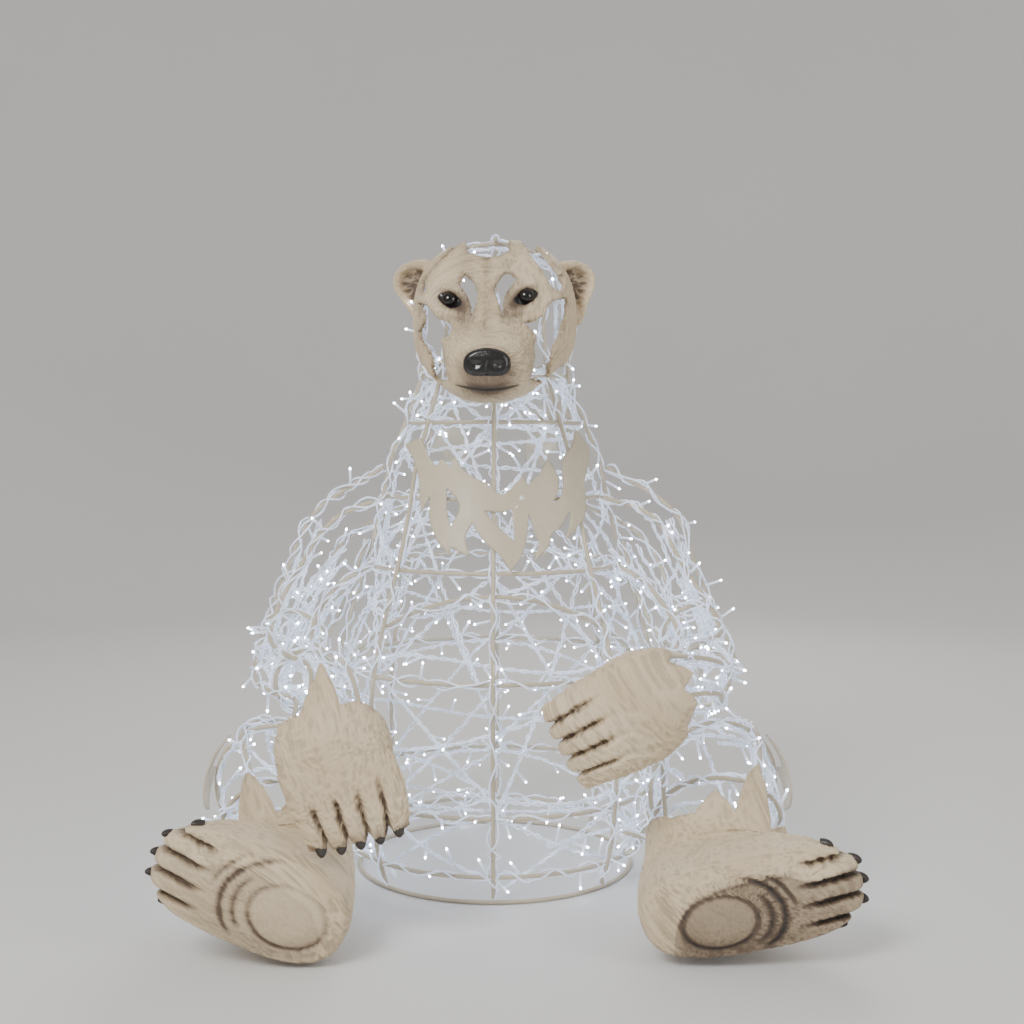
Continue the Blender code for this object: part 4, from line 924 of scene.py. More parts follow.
def limb_rods(side, kind):
    """Paths of one limb's rods and hoops by CAD node."""
    limb = LIMBS[f"{side}_{kind}"]
    sign = 1 if side == "left" else -1
    places = np.append(np.arange(1.0, LIMB_ENDS[kind], 1.0), LIMB_ENDS[kind] - 0.1)
    rods = {}
    for step, (steps_round, height, first) in enumerate(ROOTS[kind]):
        turn = limb_turns(side, kind, FIRST_TURNS[kind] + step * 2 * math.pi / len(ROOTS[kind]))
        on_rib = steps_round == int(steps_round)
        root = trunk_skin(sign * steps_round * RIB_TURN, height, on_rib * ROD_STEP + WELD_ROOM)
        points = np.vstack([root, limb_skin(limb, places[places >= first], turn)])
        rods[f"{side}_{kind}_rod_{step + 1}"] = points, False
    turns = circle(36)
    for step, place in enumerate(LIMB_HOOPS[kind]):
        rods[f"{side}_{kind}_hoop_{step + 1}"] = limb_skin(limb, place, turns, -ROD_STEP), True
    return rods


def meeting_points(paths, reach):
    """Where two rods pass within reach of each other: the middle of each nearest pair."""
    spots = []
    for first in range(len(paths)):
        for second in range(first + 1, len(paths)):
            away = np.linalg.norm(paths[first][:, None] - paths[second][None], axis=-1)
            near = away < reach
            if not near.any():
                continue
            rows = np.flatnonzero(near.any(1))
            for run in np.split(rows, np.flatnonzero(np.diff(rows) > 3) + 1):
                a = run[np.argmin(away[run].min(1))]
                spots.append((paths[first][a] + paths[second][np.argmin(away[a])]) / 2)
    return np.array(spots).reshape(-1, 3)


# Light strings

def wound(path, radius, pitch, phase, seed, hold=None):
    """A wire wound loosely on a path: p + r(s) (cos a side + sin a other), a = phase + 2 pi s / pitch,
    with r wandering by noise. Where hold gives a direction, the wire stays on that side of the path."""
    along, side, other = path_frame(path)
    walked = np.append(0, np.cumsum(np.linalg.norm(np.diff(path, axis=0), axis=1)))
    zero = np.zeros_like(walked)
    wander = noise(np.stack([walked / 0.045, zero + seed * 3.1, zero], -1), seed)
    angle = phase + 2 * math.pi * walked / pitch + 1.3 * wander
    swing = noise(np.stack([walked / 0.07, zero, zero + seed], -1), seed + 9)
    loose = radius * (1 + 0.9 * np.clip(swing, 0, 1))
    offset = loose[:, None] * (np.cos(angle)[:, None] * side + np.sin(angle)[:, None] * other)
    if hold is not None:
        wrong = (offset * hold).sum(-1, keepdims=True)
        offset = offset - 2 * np.minimum(wrong, 0) * hold
    return path + offset


def plate_zone(points):
    """Whether points lie by a plate, where the wires keep to the inside."""
    near = np.zeros(len(points), bool)
    for node in ("collar", "left_nape_plate", "right_nape_plate", "left_knee_plate", "right_knee_plate"):
        low, high = (np.array(corner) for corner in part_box(node))
        near |= ((points + SHIFT > low - PLATE_ROOM) & (points + SHIFT < high + PLATE_ROOM)).all(-1)
    return near


def away_from_middle(path, group):
    """Directions from the middle line of the trunk or limb to the points of a path."""
    if group == "trunk":
        middle = np.stack([0 * path[:, 0], 0 * path[:, 0] - 0.01, path[:, 2]], -1)
    else:
        limb = LIMBS[group]
        line = through(limb, np.linspace(0, limb[-1][0], 60))[:, :3]
        middle = line[np.argmin(np.linalg.norm(path[:, None] - line[None], axis=-1), axis=1)]
    return unit(path - middle)


def lamp_spots(path, away, sizes, random):
    """Place and direction of each lamp on a run: one a pitch from a drawn start, square to the wire plus a
    drawn lean along it, and turned back where it would point outward by more than the limit."""
    length = np.linalg.norm(np.diff(path, axis=0), axis=1).sum()
    steps = np.arange(random.uniform(0.2, 0.9), length / sizes.lamp_pitch, 1.0)
    index = np.clip((steps * sizes.lamp_pitch / length * len(path)).astype(int), 1, len(path) - 2)
    along = unit(path[index + 1] - path[index - 1])
    spin = unit(np.cross(along, random.normal(size=(len(index), 3))))
    direction = unit(spin + random.uniform(-0.8, 0.8, (len(index), 1)) * along)
    outward = (direction * away[index]).sum(-1, keepdims=True)
    limit = np.where(plate_zone(path[index])[:, None], OUTWARD_BY_PLATE, OUTWARD_ELSEWHERE)
    direction = unit(direction - np.maximum(outward - limit, 0) * 1.5 * away[index])
    return np.hstack([path[index] + direction * LAMP_STEP, direction])


def drooping(start, end, sag, steps=14):
    """A wire between two points: a straight line with a sine bow along sag."""
    share = np.linspace(0, 1, steps)[:, None]
    return start + share * (end - start) + np.sin(math.pi * share) * sag


def trunk_runs(random):
    """Wire runs inside the trunk: from crossing to crossing over each pane of the cage, some over two."""
    runs = []
    heights = [RIB_FOOT + 0.006] + list(HOOP_HEIGHTS.values())
    for low in range(len(heights) - 1):
        for rib in range(8):
            for shift in (1, -1) if random.random() < BOTH_WAYS else (random.choice((-1, 1)),):
                high = low + (2 if random.random() < 0.35 and low + 2 < len(heights) else 1)
                wobble = random.uniform(-0.10, 0.10, 2)
                start = trunk_skin(rib * RIB_TURN + wobble[0], heights[low], -LOOSE_INSET)
                end = trunk_skin((rib + shift) * RIB_TURN + wobble[1], heights[high], -LOOSE_INSET)
                middle = (start + end) / 2
                axis = np.array([0.0, 0.004, middle[2]])
                bow = unit(middle - axis) * random.uniform(0.000, 0.022) + [0, 0, random.uniform(-0.01, 0.01)]
                runs.append(drooping(start, end, bow))
    return runs


def limb_runs(side, kind, random):
    """Wire runs inside a limb: strands along it that drift round, and short ones across."""
    limb = LIMBS[f"{side}_{kind}"]
    end = LIMB_ENDS[kind] - 0.45
    runs = []
    count = LIMB_STRANDS[kind]
    for step in range(count):
        low = random.uniform(0.7, 1.9)
        high = random.uniform(end - 0.9, end)
        place = np.linspace(low, high, 16)
        turn = 2 * math.pi * step / count + random.uniform(-0.3, 0.3)
        turn = turn + np.linspace(0, random.uniform(-2.4, 2.4), 16)
        inward = -0.008 - 0.012 * np.abs(np.sin(np.linspace(0, random.uniform(3, 7), 16)))
        runs.append(limb_skin(limb, place, turn, inward))
    return runs


def string_paths():
    """Centre paths of the light strings that the CAD holds, by group."""
    paths = {"trunk": [], "right_arm": [], "left_arm": [], "right_leg": [], "left_leg": []}
    share = np.linspace(0, 1, 260)
    turns = 0.35 + share * 2 * math.pi * 5
    heights = 0.060 + 0.470 * share + 0.020 * np.sin(turns * 2.5)
    paths["trunk"].append(trunk_skin(turns, heights, -CABLE_INSET))
    share = np.linspace(0, 1, 90)
    turns = 0.9 + share * 2 * math.pi * 2
    paths["trunk"].append(trunk_skin(turns, 0.585 + 0.125 * share, -CABLE_INSET))
    for name, low, high, times in (("right_arm", 1.6, 5.6, 3), ("left_arm", 1.6, 5.6, 3),
                                   ("right_leg", 1.2, 3.7, 2), ("left_leg", 1.2, 3.7, 2)):
        share = np.linspace(0, 1, 80)
        paths[name].append(limb_skin(LIMBS[name], low + (high - low) * share,
                                     0.4 + share * 2 * math.pi * times, -CABLE_INSET))
    return paths


def head_runs():
    """Wire runs inside the mask, close behind its openings."""
    runs = []
    for depth, start, end in ((0.030, -2.2, 2.2), (0.055, -1.9, -0.5), (0.055, 0.5, 1.9), (0.085, -2.0, -0.9),
                              (0.085, 0.9, 2.0), (0.070, -0.5, 0.5)):
        turns = np.linspace(start, end, 24)
        runs.append(head_ring(np.full(24, depth) + 0.008 * np.sin(turns * 5), turns, HEAD_WALL + 0.006))
    return runs


# Castings

def head_ring(depth, turns, inset=0.0):
    """A point of the mask before carving: a superellipse ring, half|sin|^(2/n) by reach|cos|^(2/n)."""
    size = through(HEAD, depth)
    middle, half, top, bottom, widest = np.moveaxis(size, -1, 0)
    power = 2 / HEAD_SQUARENESS
    sine, cosine = np.sin(turns), np.cos(turns)
    x = middle + (half - inset) * np.sign(sine) * np.abs(sine) ** power
    reach = np.where(cosine > 0, top - widest, widest - bottom) - inset
    z = widest + reach * np.sign(cosine) * np.abs(cosine) ** power
    return np.stack([x, MASK_RIM - depth + inset + 0 * x, z], axis=-1)


def bells(table, u, v):
    """Sum of height times exp(-((u-u0)/w)^2 - ((v-v0)/h)^2) over a table's rows."""
    return sum(high * bell(np.hypot((u - u0) / wide, (v - v0) / tall), 1)
               for high, u0, wide, v0, tall in table)


def carve_face(points):
    """The face pressed into the mask as sums of bells over x and z: the depth to push in, and the shade,
    which is black paint, brown wash and painted shade.
    """
    x, y, z = points[..., 0], points[..., 1], points[..., 2]
    push, shade = np.zeros_like(x), np.zeros_like(x)
    front = smooth(-0.09, -0.14, y)
    for side, (eye_x, eye_z) in zip((-1, 1), EYES):
        u = (x - eye_x) * side
        v = z - eye_z - 0.30 * u
        almond = np.hypot(u / 0.0165, v / (0.0118 - 0.25 * np.abs(u) * (np.abs(u) < 0.02)))
        push += 0.0095 * np.exp(-(np.hypot(u / 0.0185, v / 0.0130) ** 3)) * front
        push += bells(EYE_FORMS, u, v) * front
        # Black paint in each eye's almond, with painted shade below the eye and under its bottom lid
        shade += (1.9 * smooth(1.10, 0.80, almond) + bells(EYE_PAINT_AND_SHADE, u, v)) * front
    groove = bell(x - BROW_MIDDLE, 0.0045) * smooth(0.780, 0.800, z) * smooth(-0.06, -0.09, y)
    push += 0.0028 * groove
    # Brown wash and painted shade down the brow's groove and on each side of the brow
    brow = smooth(0.76, 0.80, z) * smooth(-0.06, -0.09, y)
    away = np.abs(x - BROW_MIDDLE)
    shade += (0.46 * bell(away, 0.0085) + 0.36 * bell(away - 0.028, 0.020)) * brow
    # Nose pad, nostrils and the split below it
    u, v = x - NOSE_MIDDLE[0], z - NOSE_MIDDLE[1]
    pad = (np.abs(u) / 0.0300) ** 2.6 + (np.abs(v + 0.10 * np.abs(u)) / 0.0175) ** 2.6
    on_pad = smooth(1.12, 0.86, pad) * smooth(-0.235, -0.255, y)
    push -= 0.0035 * smooth(1.1, 0.55, pad) * smooth(-0.235, -0.255, y)
    for side in (-1, 1):
        away = u - side * NOSTRIL_STEP
        hole = np.hypot(away / 0.0068, (v + 0.0045 - 0.25 * np.abs(away)) / 0.0046)
        push += 0.0020 * np.exp(-(hole ** 2)) * on_pad
    push += 0.0016 * bell(u, 0.0016) * smooth(0.004, -0.004, v) * smooth(-0.235, -0.25, y)
    # Brown wash and painted shade in a halo round and below the nose; the pad's black is its paint
    below = np.hypot(u / 0.042, (v + 0.012) / 0.036)
    halo = smooth(1.25, 0.55, below) * smooth(-0.17, -0.225, y)
    shade += 0.95 * halo + 1.9 * on_pad
    # Mouth line, lips and chin
    line = z - 0.7062 - 4.2 * u ** 2
    lips = smooth(0.046, 0.038, np.abs(u)) * smooth(-0.185, -0.215, y)
    push += 0.0026 * bell(line, 0.0013) * lips
    push -= 0.0016 * bell(line - 0.006, 0.0040) * lips
    # Brown wash and painted shade along the mouth's line
    shade += 0.66 * bell(line, 0.0013) * lips + 0.22 * bell(line, 0.007) * lips
    # Painted shade under the chin
    shade += 0.22 * smooth(0.716, 0.700, z) * smooth(-0.19, -0.23, y)
    # Muzzle sides, cheeks and jaw, with brown wash and painted shade on the muzzle's sides
    shade += 0.26 * bell(np.abs(u) - 0.052, 0.014) * bell(z - 0.748, 0.030) * smooth(-0.16, -0.20, y)
    push += 0.0030 * bell(np.abs(x + 0.006) - 0.050, 0.008) * bell(z - 0.800, 0.016) * smooth(-0.12, -0.15, y)
    # Painted shade towards the mask's back and on the cheeks by the ears
    shade += 0.22 * smooth(-0.085, -0.055, y) + 0.18 * bell(np.abs(x + 0.004) - 0.098, 0.012)
    return push, shade


def mask_openings_shade(points):
    """Painted shade close round the openings' edges."""
    nearest = np.full(points.shape[:-1], 1e9)
    for outline in MASK_OPENINGS:
        step = to_edge(outline, points[..., 0], points[..., 2])
        nearest = np.minimum(nearest, np.linalg.norm(step, axis=-1))
    return 0.30 * bell(nearest, 0.0045)


def cut_openings(points, normals, quads):
    """The quads left when every opening and the throat are cut out of a skin of the mask."""
    for outline in MASK_OPENINGS:
        quads = cut(points, normals, quads, (0, 2), curved(outline), False)
    return cut(points, normals, quads, (1, 2), THROAT, False)


def mask_shape():
    """The head mask: fine rings from rim to nose with a domed front, carved, cut open and given its wall."""
    shape = Shape()
    count = 336
    turns = circle(count)
    share = np.linspace(0, 1, 178)
    depth = HEAD[-1][0] * (share + 0.13 * np.sin(math.pi * share) * share)
    rings = head_ring(depth[:, None], turns[None, :])
    cap = np.linspace(0, 1, 30)[1:-1]
    tip = np.array(NOSE_TIP)
    fan = rings[-1][None] + (tip - rings[-1])[None] * cap[:, None, None]
    fan[..., 1] = rings[-1, :, 1] + (tip[1] - rings[-1, :, 1]) * np.sin(cap * math.pi / 2)[:, None]
    points = np.concatenate([rings, fan])
    normals = -grid_normals(points)
    push, shade = carve_face(points)
    radius = np.hypot(points[..., 0], points[..., 2] - 0.80)
    hair = fur(points[..., 1] + 0.25 * radius, radius * turns[None, :], 3)
    quiet = smooth(1.2, 0.4, shade)
    points = points - normals * (MASK_FUR * (0.5 - hair) * quiet)[..., None]
    points[..., 1] += push
    # Brown wash and painted shade in the fur's valleys, and painted shade round the openings
    shade = shade + 0.52 * (0.42 - hair) * quiet + mask_openings_shade(points) * quiet
    normals = -grid_normals(points)
    rows = len(points)
    flat, flat_normals = points.reshape(-1, 3).copy(), normals.reshape(-1, 3)
    quads = grid_faces(rows, count, flip=True)
    quads = cut_openings(flat, flat_normals, quads)
    inner, strips = rim_walls(flat, flat_normals, quads, HEAD_WALL)
    pole = len(flat) + len(inner)
    last = (rows - 1) * count + np.arange(count)
    fan_faces = np.stack([np.roll(last, -1), last, np.full(count, pole)], -1)
    # The openings' walls get painted shade; the nose's tip is black paint
    values = np.concatenate([shade.ravel(), np.full(len(inner), 0.35), [2.2]])
    nose = tip + [0.0, push[-1].mean(), 0.0]
    shape.add(np.vstack([flat, inner, nose]), [quads, strips, fan_faces], values)
    # Plain inner skin, with a light painted shade
    count, rows = 120, 56
    turns = circle(count)
    depth = np.linspace(0.0, 0.214, rows)
    points = head_ring(depth[:, None], turns[None, :], HEAD_WALL)
    points[0, :, 1] = MASK_RIM
    normals = -grid_normals(points).reshape(-1, 3)
    flat = points.reshape(-1, 3).copy()
    quads = grid_faces(rows, count)
    shape.add(flat, [cut_openings(flat, normals, quads)], 0.25)
    for side in (-1, 1):
        ear_shape(shape, side)
    return shape


def ear_shape(shape, side):
    """An ear as one closed skin: its outline, shrunk and set back along EAR_PROFILE from the pole on its
    back, over the rim and down into the bowl."""
    edge = resample(np.array(EAR_EDGE) - EAR_MIDDLE, 0.0016, True)
    count = len(edge)
    step = np.linspace(0, EAR_PROFILE[-1][0], 74)
    share, back = through(EAR_PROFILE, step).T
    outward = EAR_MIDDLE[0] + share[:, None] * edge[None, :, 0]
    up = EAR_MIDDLE[1] + share[:, None] * edge[None, :, 1]
    roll = side * EAR_ROLL
    cosine, sine = math.cos(roll), math.sin(roll)
    outward, up = outward * cosine - up * sine, outward * sine + up * cosine
    back = back[:, None] + 0 * up
    x = side * (EAR_PLACE[0] + outward * math.cos(EAR_TURN) - back * math.sin(EAR_TURN))
    y = EAR_PLACE[1] + outward * math.sin(EAR_TURN) + back * math.cos(EAR_TURN)
    points = np.stack([x, y, EAR_PLACE[2] + up], -1)
    normals = grid_normals(points)
    flip = ((points[8] - points.mean((0, 1))) * normals[8]).sum() < 0
    normals = -normals if flip else normals
    hair = fur(outward + 0.4 * up, up - 0.4 * outward, 7)
    depth = EAR_FUR * (0.5 - hair) * np.minimum(share * 2, 1)[:, None]
    points = points - normals * depth[..., None]
    # Painted shade in the ear's bowl, deeper towards the head, and brown wash with painted shade in the fur's
    # valleys
    bowl = smooth(3.2, 4.4, step)[:, None] + 0 * up
    bowl_shade = 0.66 + 0.30 * (1 - hair) + 0.25 * smooth(-0.01, 0.02, -outward)
    shade = 0.10 + 0.30 * (0.5 - hair) + bowl * bowl_shade
    rows = len(points) - 2
    faces = [grid_faces(rows, count), *end_fans(rows, count)]
    if flip:
        faces = [group[:, ::-1] for group in faces]
    values = np.concatenate([shade[1:-1].ravel(), EAR_POLE_SHADES])
    shape.add(np.vstack([points[1:-1].reshape(-1, 3), points[0, :1], points[-1, :1]]), faces, values)


def lobes(across):
    """How deep the grooves between fingers or toes are at a place from -1 to 1 across."""
    edges = [2 * (step + 1) / DIGITS - 1 for step in range(DIGITS - 1)]
    return sum(bell(across - edge, GROOVE_WIDTH) for edge in edges)


def flame_rim(turns, flames):
    """Cuff length at each turn: a plain band with tongues of height (1 - away/spread)^0.72."""
    degrees = np.degrees(turns) % 360
    reach = np.zeros_like(turns)
    for middle, spread, height in flames:
        away = np.abs((degrees - middle + 180) % 360 - 180)
        reach = np.maximum(reach, height * np.clip(1 - away / spread, 0, 1) ** 0.72)
    return CUFF_LENGTH + reach


def cuff(limb, end, turns, flames):
    """Rows of the cuff from inside its floor, over the flame rim, to the limb's end."""
    step_length = np.linalg.norm(through(limb, end)[:3] - through(limb, end - 1)[:3])
    rim = end - flame_rim(turns, flames) / step_length
    inner = ROD_RADIUS + CUFF_CLEARANCE
    share = np.linspace(0, 1, 14)
    rows = [limb_skin(limb, rim + (end - rim) * s, turns, inner) for s in share[::-1]]
    share = np.linspace(0, 1, 26)
    return rows, [limb_skin(limb, rim + (end - rim) * s, turns, inner + CASTING_WALL) for s in share]


def even_out(rows, middle, reach=18, times=60):
    """Eases the rows near a middle row by repeated (before + 2 itself + after) / 4."""
    low, high = middle - reach // 2, middle + reach
    for _ in range(times):
        rows[low:high] = (rows[low - 1: high - 1] + 2 * rows[low:high] + rows[low + 1: high + 1]) / 4


def hand_shape(side):
    """A cast hand: hollow flame cuff, broad back and five grooved fingers that round off at the tips."""
    limb = LIMBS[f"{side}_arm"]
    count = 260
    turns = circle(count)
    across = np.cos(turns)
    inner, outer = cuff(limb, WRIST, turns, FLAMES[f"{side}_hand"])
    outside = ROD_RADIUS + CUFF_CLEARANCE + CASTING_WALL
    notch = FINGER_REACH * (lobes(across) + 0.6 * across ** 4)
    share = np.linspace(0, 1, 132)[1:]
    places = WRIST + (HAND_END - WRIST) * (share + 0.10 * np.sin(math.pi * share) * share)
    body, grooves = [], []
    for place in places:
        centre, along, wide, thick, half = limb_frame(limb, np.full(count, place))
        ramp = smooth(8.55, 9.15, place)
        knuckle = bell(place - 8.75, 0.28) * (1 - lobes(across)) * 0.12 * (np.sin(turns) > 0)
        flat = 1 - 0.42 * ramp * lobes(across) + knuckle
        rounded = math.sqrt(max(1 - max((place - 9.3) / 0.7, 0) ** 2, 0))
        extra = through(HAND_TAPER, np.array([place]))[0, 0]
        size = half + outside * extra
        point = centre + (size[:, 0] * across)[:, None] * wide
        point = point + (size[:, 1] * np.sin(turns) * flat * rounded)[:, None] * thick
        body.append(point - (smooth(8.6, 9.4, place) * notch)[:, None] * along)
        grooves.append(ramp * lobes(across))
    rows = np.array(inner + outer + body)
    cuff_rows = len(inner) + len(outer)
    even_out(rows, cuff_rows)
    groove = np.vstack([np.zeros((cuff_rows, count)), grooves])
    # Painted shade on the right hand's fingertips, where its rows round off
    if side == "right":
        groove[cuff_rows:] += (0.7 * smooth(9.72, 10.0, places))[:, None]
    return cast(rows, groove, cuff_rows, len(inner), limb, WRIST + 0.25, turns)


def cast(rows, groove, cuff_rows, inner_rows, limb, floor_place, turns, wash_and_shade=0.0, pole=None, quiet=None):
    """Fur and paint over a casting's rows: ridges along it, brown wash and painted shade in its grooves and
    the fur's valleys, and painted shade on its cuff's inside and rim.
    """
    normals = grid_normals(rows)
    middle = rows[cuff_rows].mean(0)
    if ((rows[cuff_rows] - middle) * normals[cuff_rows]).sum() < 0:
        normals = -normals
    count = rows.shape[1]
    walked = np.cumsum(np.linalg.norm(np.diff(rows, axis=0, prepend=rows[:1]), axis=-1), axis=0)
    sideways = np.tile(np.sin(turns) * 0.05 + np.cos(turns) * 0.06, (len(rows), 1))
    seam = rows[..., 0] * 0.8 + rows[..., 2] * 0.35
    hair = fur(walked.mean(1, keepdims=True) + 0 * walked + 0.3 * sideways, seam + 0.4 * sideways, 11)
    calm = np.ones(rows.shape[:2]) if quiet is None else quiet
    calm[:inner_rows] = 0
    calm[-3:] = 0
    rows = rows - normals * (CAST_FUR * (0.5 - hair) * calm)[..., None]
    shade = 0.90 * np.clip(groove, 0, 1) + 0.60 * (0.42 - hair) * calm + 0.08 + wash_and_shade
    # Painted shade inside the cuff and along its flame rim
    shade[:inner_rows] = 0.45
    shade[inner_rows: inner_rows + 3] += 0.18
    shape = Shape()
    floor = through(limb, floor_place)[:3]
    ends = end_fans(len(rows), count)
    points, values = [rows.reshape(-1, 3), floor[None]], [shade.ravel(), [CUFF_FLOOR_SHADE]]
    if pole is None:
        ends.pop()
    else:
        points.append(pole[None])
        values.append([shade[-1].mean()])
    shape.add(np.vstack(points), [grid_faces(len(rows), count), *ends], np.concatenate(values))
    return shape


def foot_axes(side):
    """The foot's sign, the sole's middle and its two directions, towards the toes and up."""
    x, y, z, _, _, tilt = FOOT_BLOCK[side]
    sign = 1 if side == "left" else -1
    forward = np.array([sign * math.cos(tilt), 0.0, math.sin(tilt)])
    return sign, np.array([x, y, z]), forward, np.array([-sign * math.sin(tilt), 0.0, math.cos(tilt)])


def foot_shape(side):
    """A cast foot: a flame cuff that swells into a sole facing forward, with toes, heel pad and creases."""
    limb = LIMBS[f"{side}_leg"]
    sign, middle, forward, upward = foot_axes(side)
    y, half_length, half_width = FOOT_BLOCK[side][1], *FOOT_BLOCK[side][3:5]
    count = 320
    spin = circle(count)
    power = 2 / SOLE_SQUARENESS
    outline = np.stack([np.sign(np.cos(spin)) * np.abs(np.cos(spin)) ** power,
                        np.sign(np.sin(spin)) * np.abs(np.sin(spin)) ** power], -1)
    turns = np.arctan2(outline[:, 1], outline[:, 0])
    around = turns if sign < 0 else -turns
    inner, outer = cuff(limb, ANKLE, around, FLAMES[f"{side}_foot"])
    grooves = lobes(outline[:, 1]) * smooth(0.2, 0.5, outline[:, 0])
    ankle = outer[-1]
    edge = middle + outline[:, :1] * half_length * forward + outline[:, 1:] * half_width * upward
    edge = edge - (TOE_REACH * grooves)[:, None] * forward
    stations = [(0.0, ankle)]
    for blend, depth in ((0.42, 0.075), (0.84, 0.046), (1.0, SOLE_EDGE)):
        row = ankle * (1 - blend) + edge * blend
        row[:, 1] = ankle[:, 1] * (1 - blend) + (y + depth) * blend
        stations.append((blend, row))
    table = np.array([np.append(place * 2.2, row.ravel()) for place, row in stations])
    side_rows = through(table, np.linspace(0, 2.2, 56)[1:]).reshape(-1, count, 3)
    round_over = []
    for step in np.linspace(0, math.pi / 2, 12)[1:]:
        share = 1 - 0.07 * (1 - math.cos(step))
        row = middle + (edge - middle) * share
        row[:, 1] = y + SOLE_EDGE - 0.020 * math.sin(step)
        round_over.append(row)
    sole_rows, share_row = [], np.linspace(0.925, 0.02, 74)
    for share in share_row:
        row = middle + (edge - middle) * share
        row[:, 1] = y + 0.002 - 0.008 * smooth(0.93, 0.55, share)
        sole_rows.append(row)
    rows = np.concatenate([np.array(inner + outer), side_rows, np.array(round_over), np.array(sole_rows)])
    cuff_rows = len(inner) + len(outer)
    even_out(rows, cuff_rows, reach=20, times=180)
    a, b = (rows - middle) @ forward, (rows - middle) @ upward
    facing = np.zeros(rows.shape[:2])
    facing[cuff_rows + 50:] = 1
    toe = smooth(0.34, 0.62, a / half_length)
    toe_lobes = lobes(np.clip(b / half_width, -1.2, 1.2))
    toe_groove = toe_lobes * toe * facing
    pad_a, pad_b, pad_long, pad_high = HEEL_PAD[side]
    u, v = (a - pad_a) / pad_long, (b - pad_b) / pad_high
    ring, angle = np.hypot(u, v), np.degrees(np.arctan2(v * pad_high, u * pad_long))

    def arc(reach, width, low, high):
        fade = smooth(low - 12, low + 8, angle) * smooth(high + 12, high - 8, angle)
        return bell(ring - reach, width) * fade

    rim = bell(ring - 1.0, 0.080) * (0.74 - 0.26 * np.sin(np.radians(angle)))
    long_arc = arc(1.72, 0.085, -34, 58)
    short_arc = arc(1.38, 0.080, -30, 22)
    top_arc = arc(2.02, 0.070, 8, 34)
    ball = bell(np.hypot((a - 0.050) / 0.030, b / 0.040), 1)
    crease = (0.9 * rim + 1.0 * long_arc + 0.8 * short_arc + 0.8 * top_arc) * facing
    push = 0.0075 * toe_groove + 0.0030 * crease - 0.0020 * smooth(1.0, 0.5, ring) * facing
    push = push - 0.003 * ball * facing
    toe_dome = (1 - toe_lobes) * toe * facing * smooth(1.0, 0.9, np.abs(b / half_width))
    push -= 0.0035 * toe_dome * smooth(0.98, 0.8, a / half_length)
    rows[..., 1] += push
    rows[..., 2] = np.maximum(rows[..., 2], 0.0)
    # Brown wash and painted shade in the toe grooves, the creases round the heel pad and the grooves up the
    # sides
    groove = np.clip(0.95 * toe_groove + 0.75 * crease, 0, 1)
    onward = smooth(0.55, 1.0, np.linspace(0, 1, len(side_rows)))[:, None] * grooves
    side_end = cuff_rows + len(side_rows)
    front_groove = grooves * (1 - facing[side_end:])
    side_groove = np.vstack([np.zeros((cuff_rows, count)), onward, front_groove])
    groove = np.clip(groove + side_groove, 0, 1)
    # Painted shade darkening the foot towards the floor
    floor_shade = smooth(0.09, 0.02, rows[..., 2]) * 0.16
    # The bare sole's darker paint with painted shade: darker on the left foot, a dark line along its upper
    # edge, and more round the heel pad
    top = through(SOLE_TOP, np.clip(a, SOLE_TOP[0][0], SOLE_TOP[-1][0]))[..., 0]
    bare = smooth(top + 0.003, top - 0.003, b) * smooth(-0.114, -0.088, a) * facing
    edge_line = bell(b - top, 0.0035) * smooth(0.070, 0.045, a) * facing
    sole_tint_and_shade, edge_shade = SOLE_TINT_AND_SHADE[side]
    pad_shade = sole_tint_and_shade * bare + edge_shade * edge_line + 0.14 * bell(ring - 1.5, 0.5) * facing
    quiet = 1 - np.maximum(facing * smooth(1.15, 0.9, ring) * 0.85, bare * 0.55)
    pole = middle + np.array([0.0, rows[-1, :, 1].mean() - y, 0.0])
    wash_and_shade = floor_shade + pad_shade
    return cast(rows, groove, cuff_rows, len(inner), limb, ANKLE + 0.02, turns, wash_and_shade, pole, quiet)


def claw_points(base, direction, bend, length=0.0138, radius=0.0078):
    """One claw: rings that shrink as (1-s^2.4)^0.6 along a path bent by s^2."""
    share = np.linspace(0, 1, 14)[:, None]
    path = base + direction * (share * length - 0.0065) + bend * share ** 2 * 0.006
    along, side, other = path_frame(path)
    turns = circle(18)
    size = radius * np.clip(1 - share ** 2.4, 0.002, 1) ** 0.6
    ring = np.cos(turns)[None, :, None] * side[:, None] * 0.82 + np.sin(turns)[None, :, None] * other[:, None]
    return path[:, None] + size[..., None] * ring


def claw_shape(places):
    """All the claws of one hand or foot, from their bases, directions and bends."""
    shape = Shape()
    for base, direction, bend in places:
        points = claw_points(base, unit(direction), bend)
        tips = np.stack([points[0].mean(0), points[-1].mean(0)])
        faces = [grid_faces(*points.shape[:2]), *end_fans(*points.shape[:2])]
        shape.add(np.vstack([points.reshape(-1, 3), tips]), faces, CLAW_SHADE)
    return shape


def hand_claws(side):
    """Base, direction and bend of each claw on a hand."""
    centre, along, wide, thick, half = limb_frame(LIMBS[f"{side}_arm"], HAND_END)
    places = []
    for across in DIGIT_PLACES:
        back = FINGER_REACH * 0.6 * across ** 4 + 0.001
        base = centre + wide * half[0] * 0.96 * across - along * back
        places.append((base, along - 0.25 * thick, -thick))
    return places


def foot_claws(side):
    """Base, direction and bend of each claw on a foot."""
    _, middle, forward, upward = foot_axes(side)
    half_length, half_width = FOOT_BLOCK[side][3:5]
    places = []
    for across in DIGIT_PLACES:
        reach = (1 - abs(across) ** SOLE_SQUARENESS) ** (1 / SOLE_SQUARENESS)
        base = middle + [0.0, SOLE_EDGE, 0.0] + forward * half_length * reach + upward * half_width * across
        places.append((base, forward + [0.0, -0.35, 0.0], np.array([0.0, -1.0, -0.3])))
    return places


# Operators

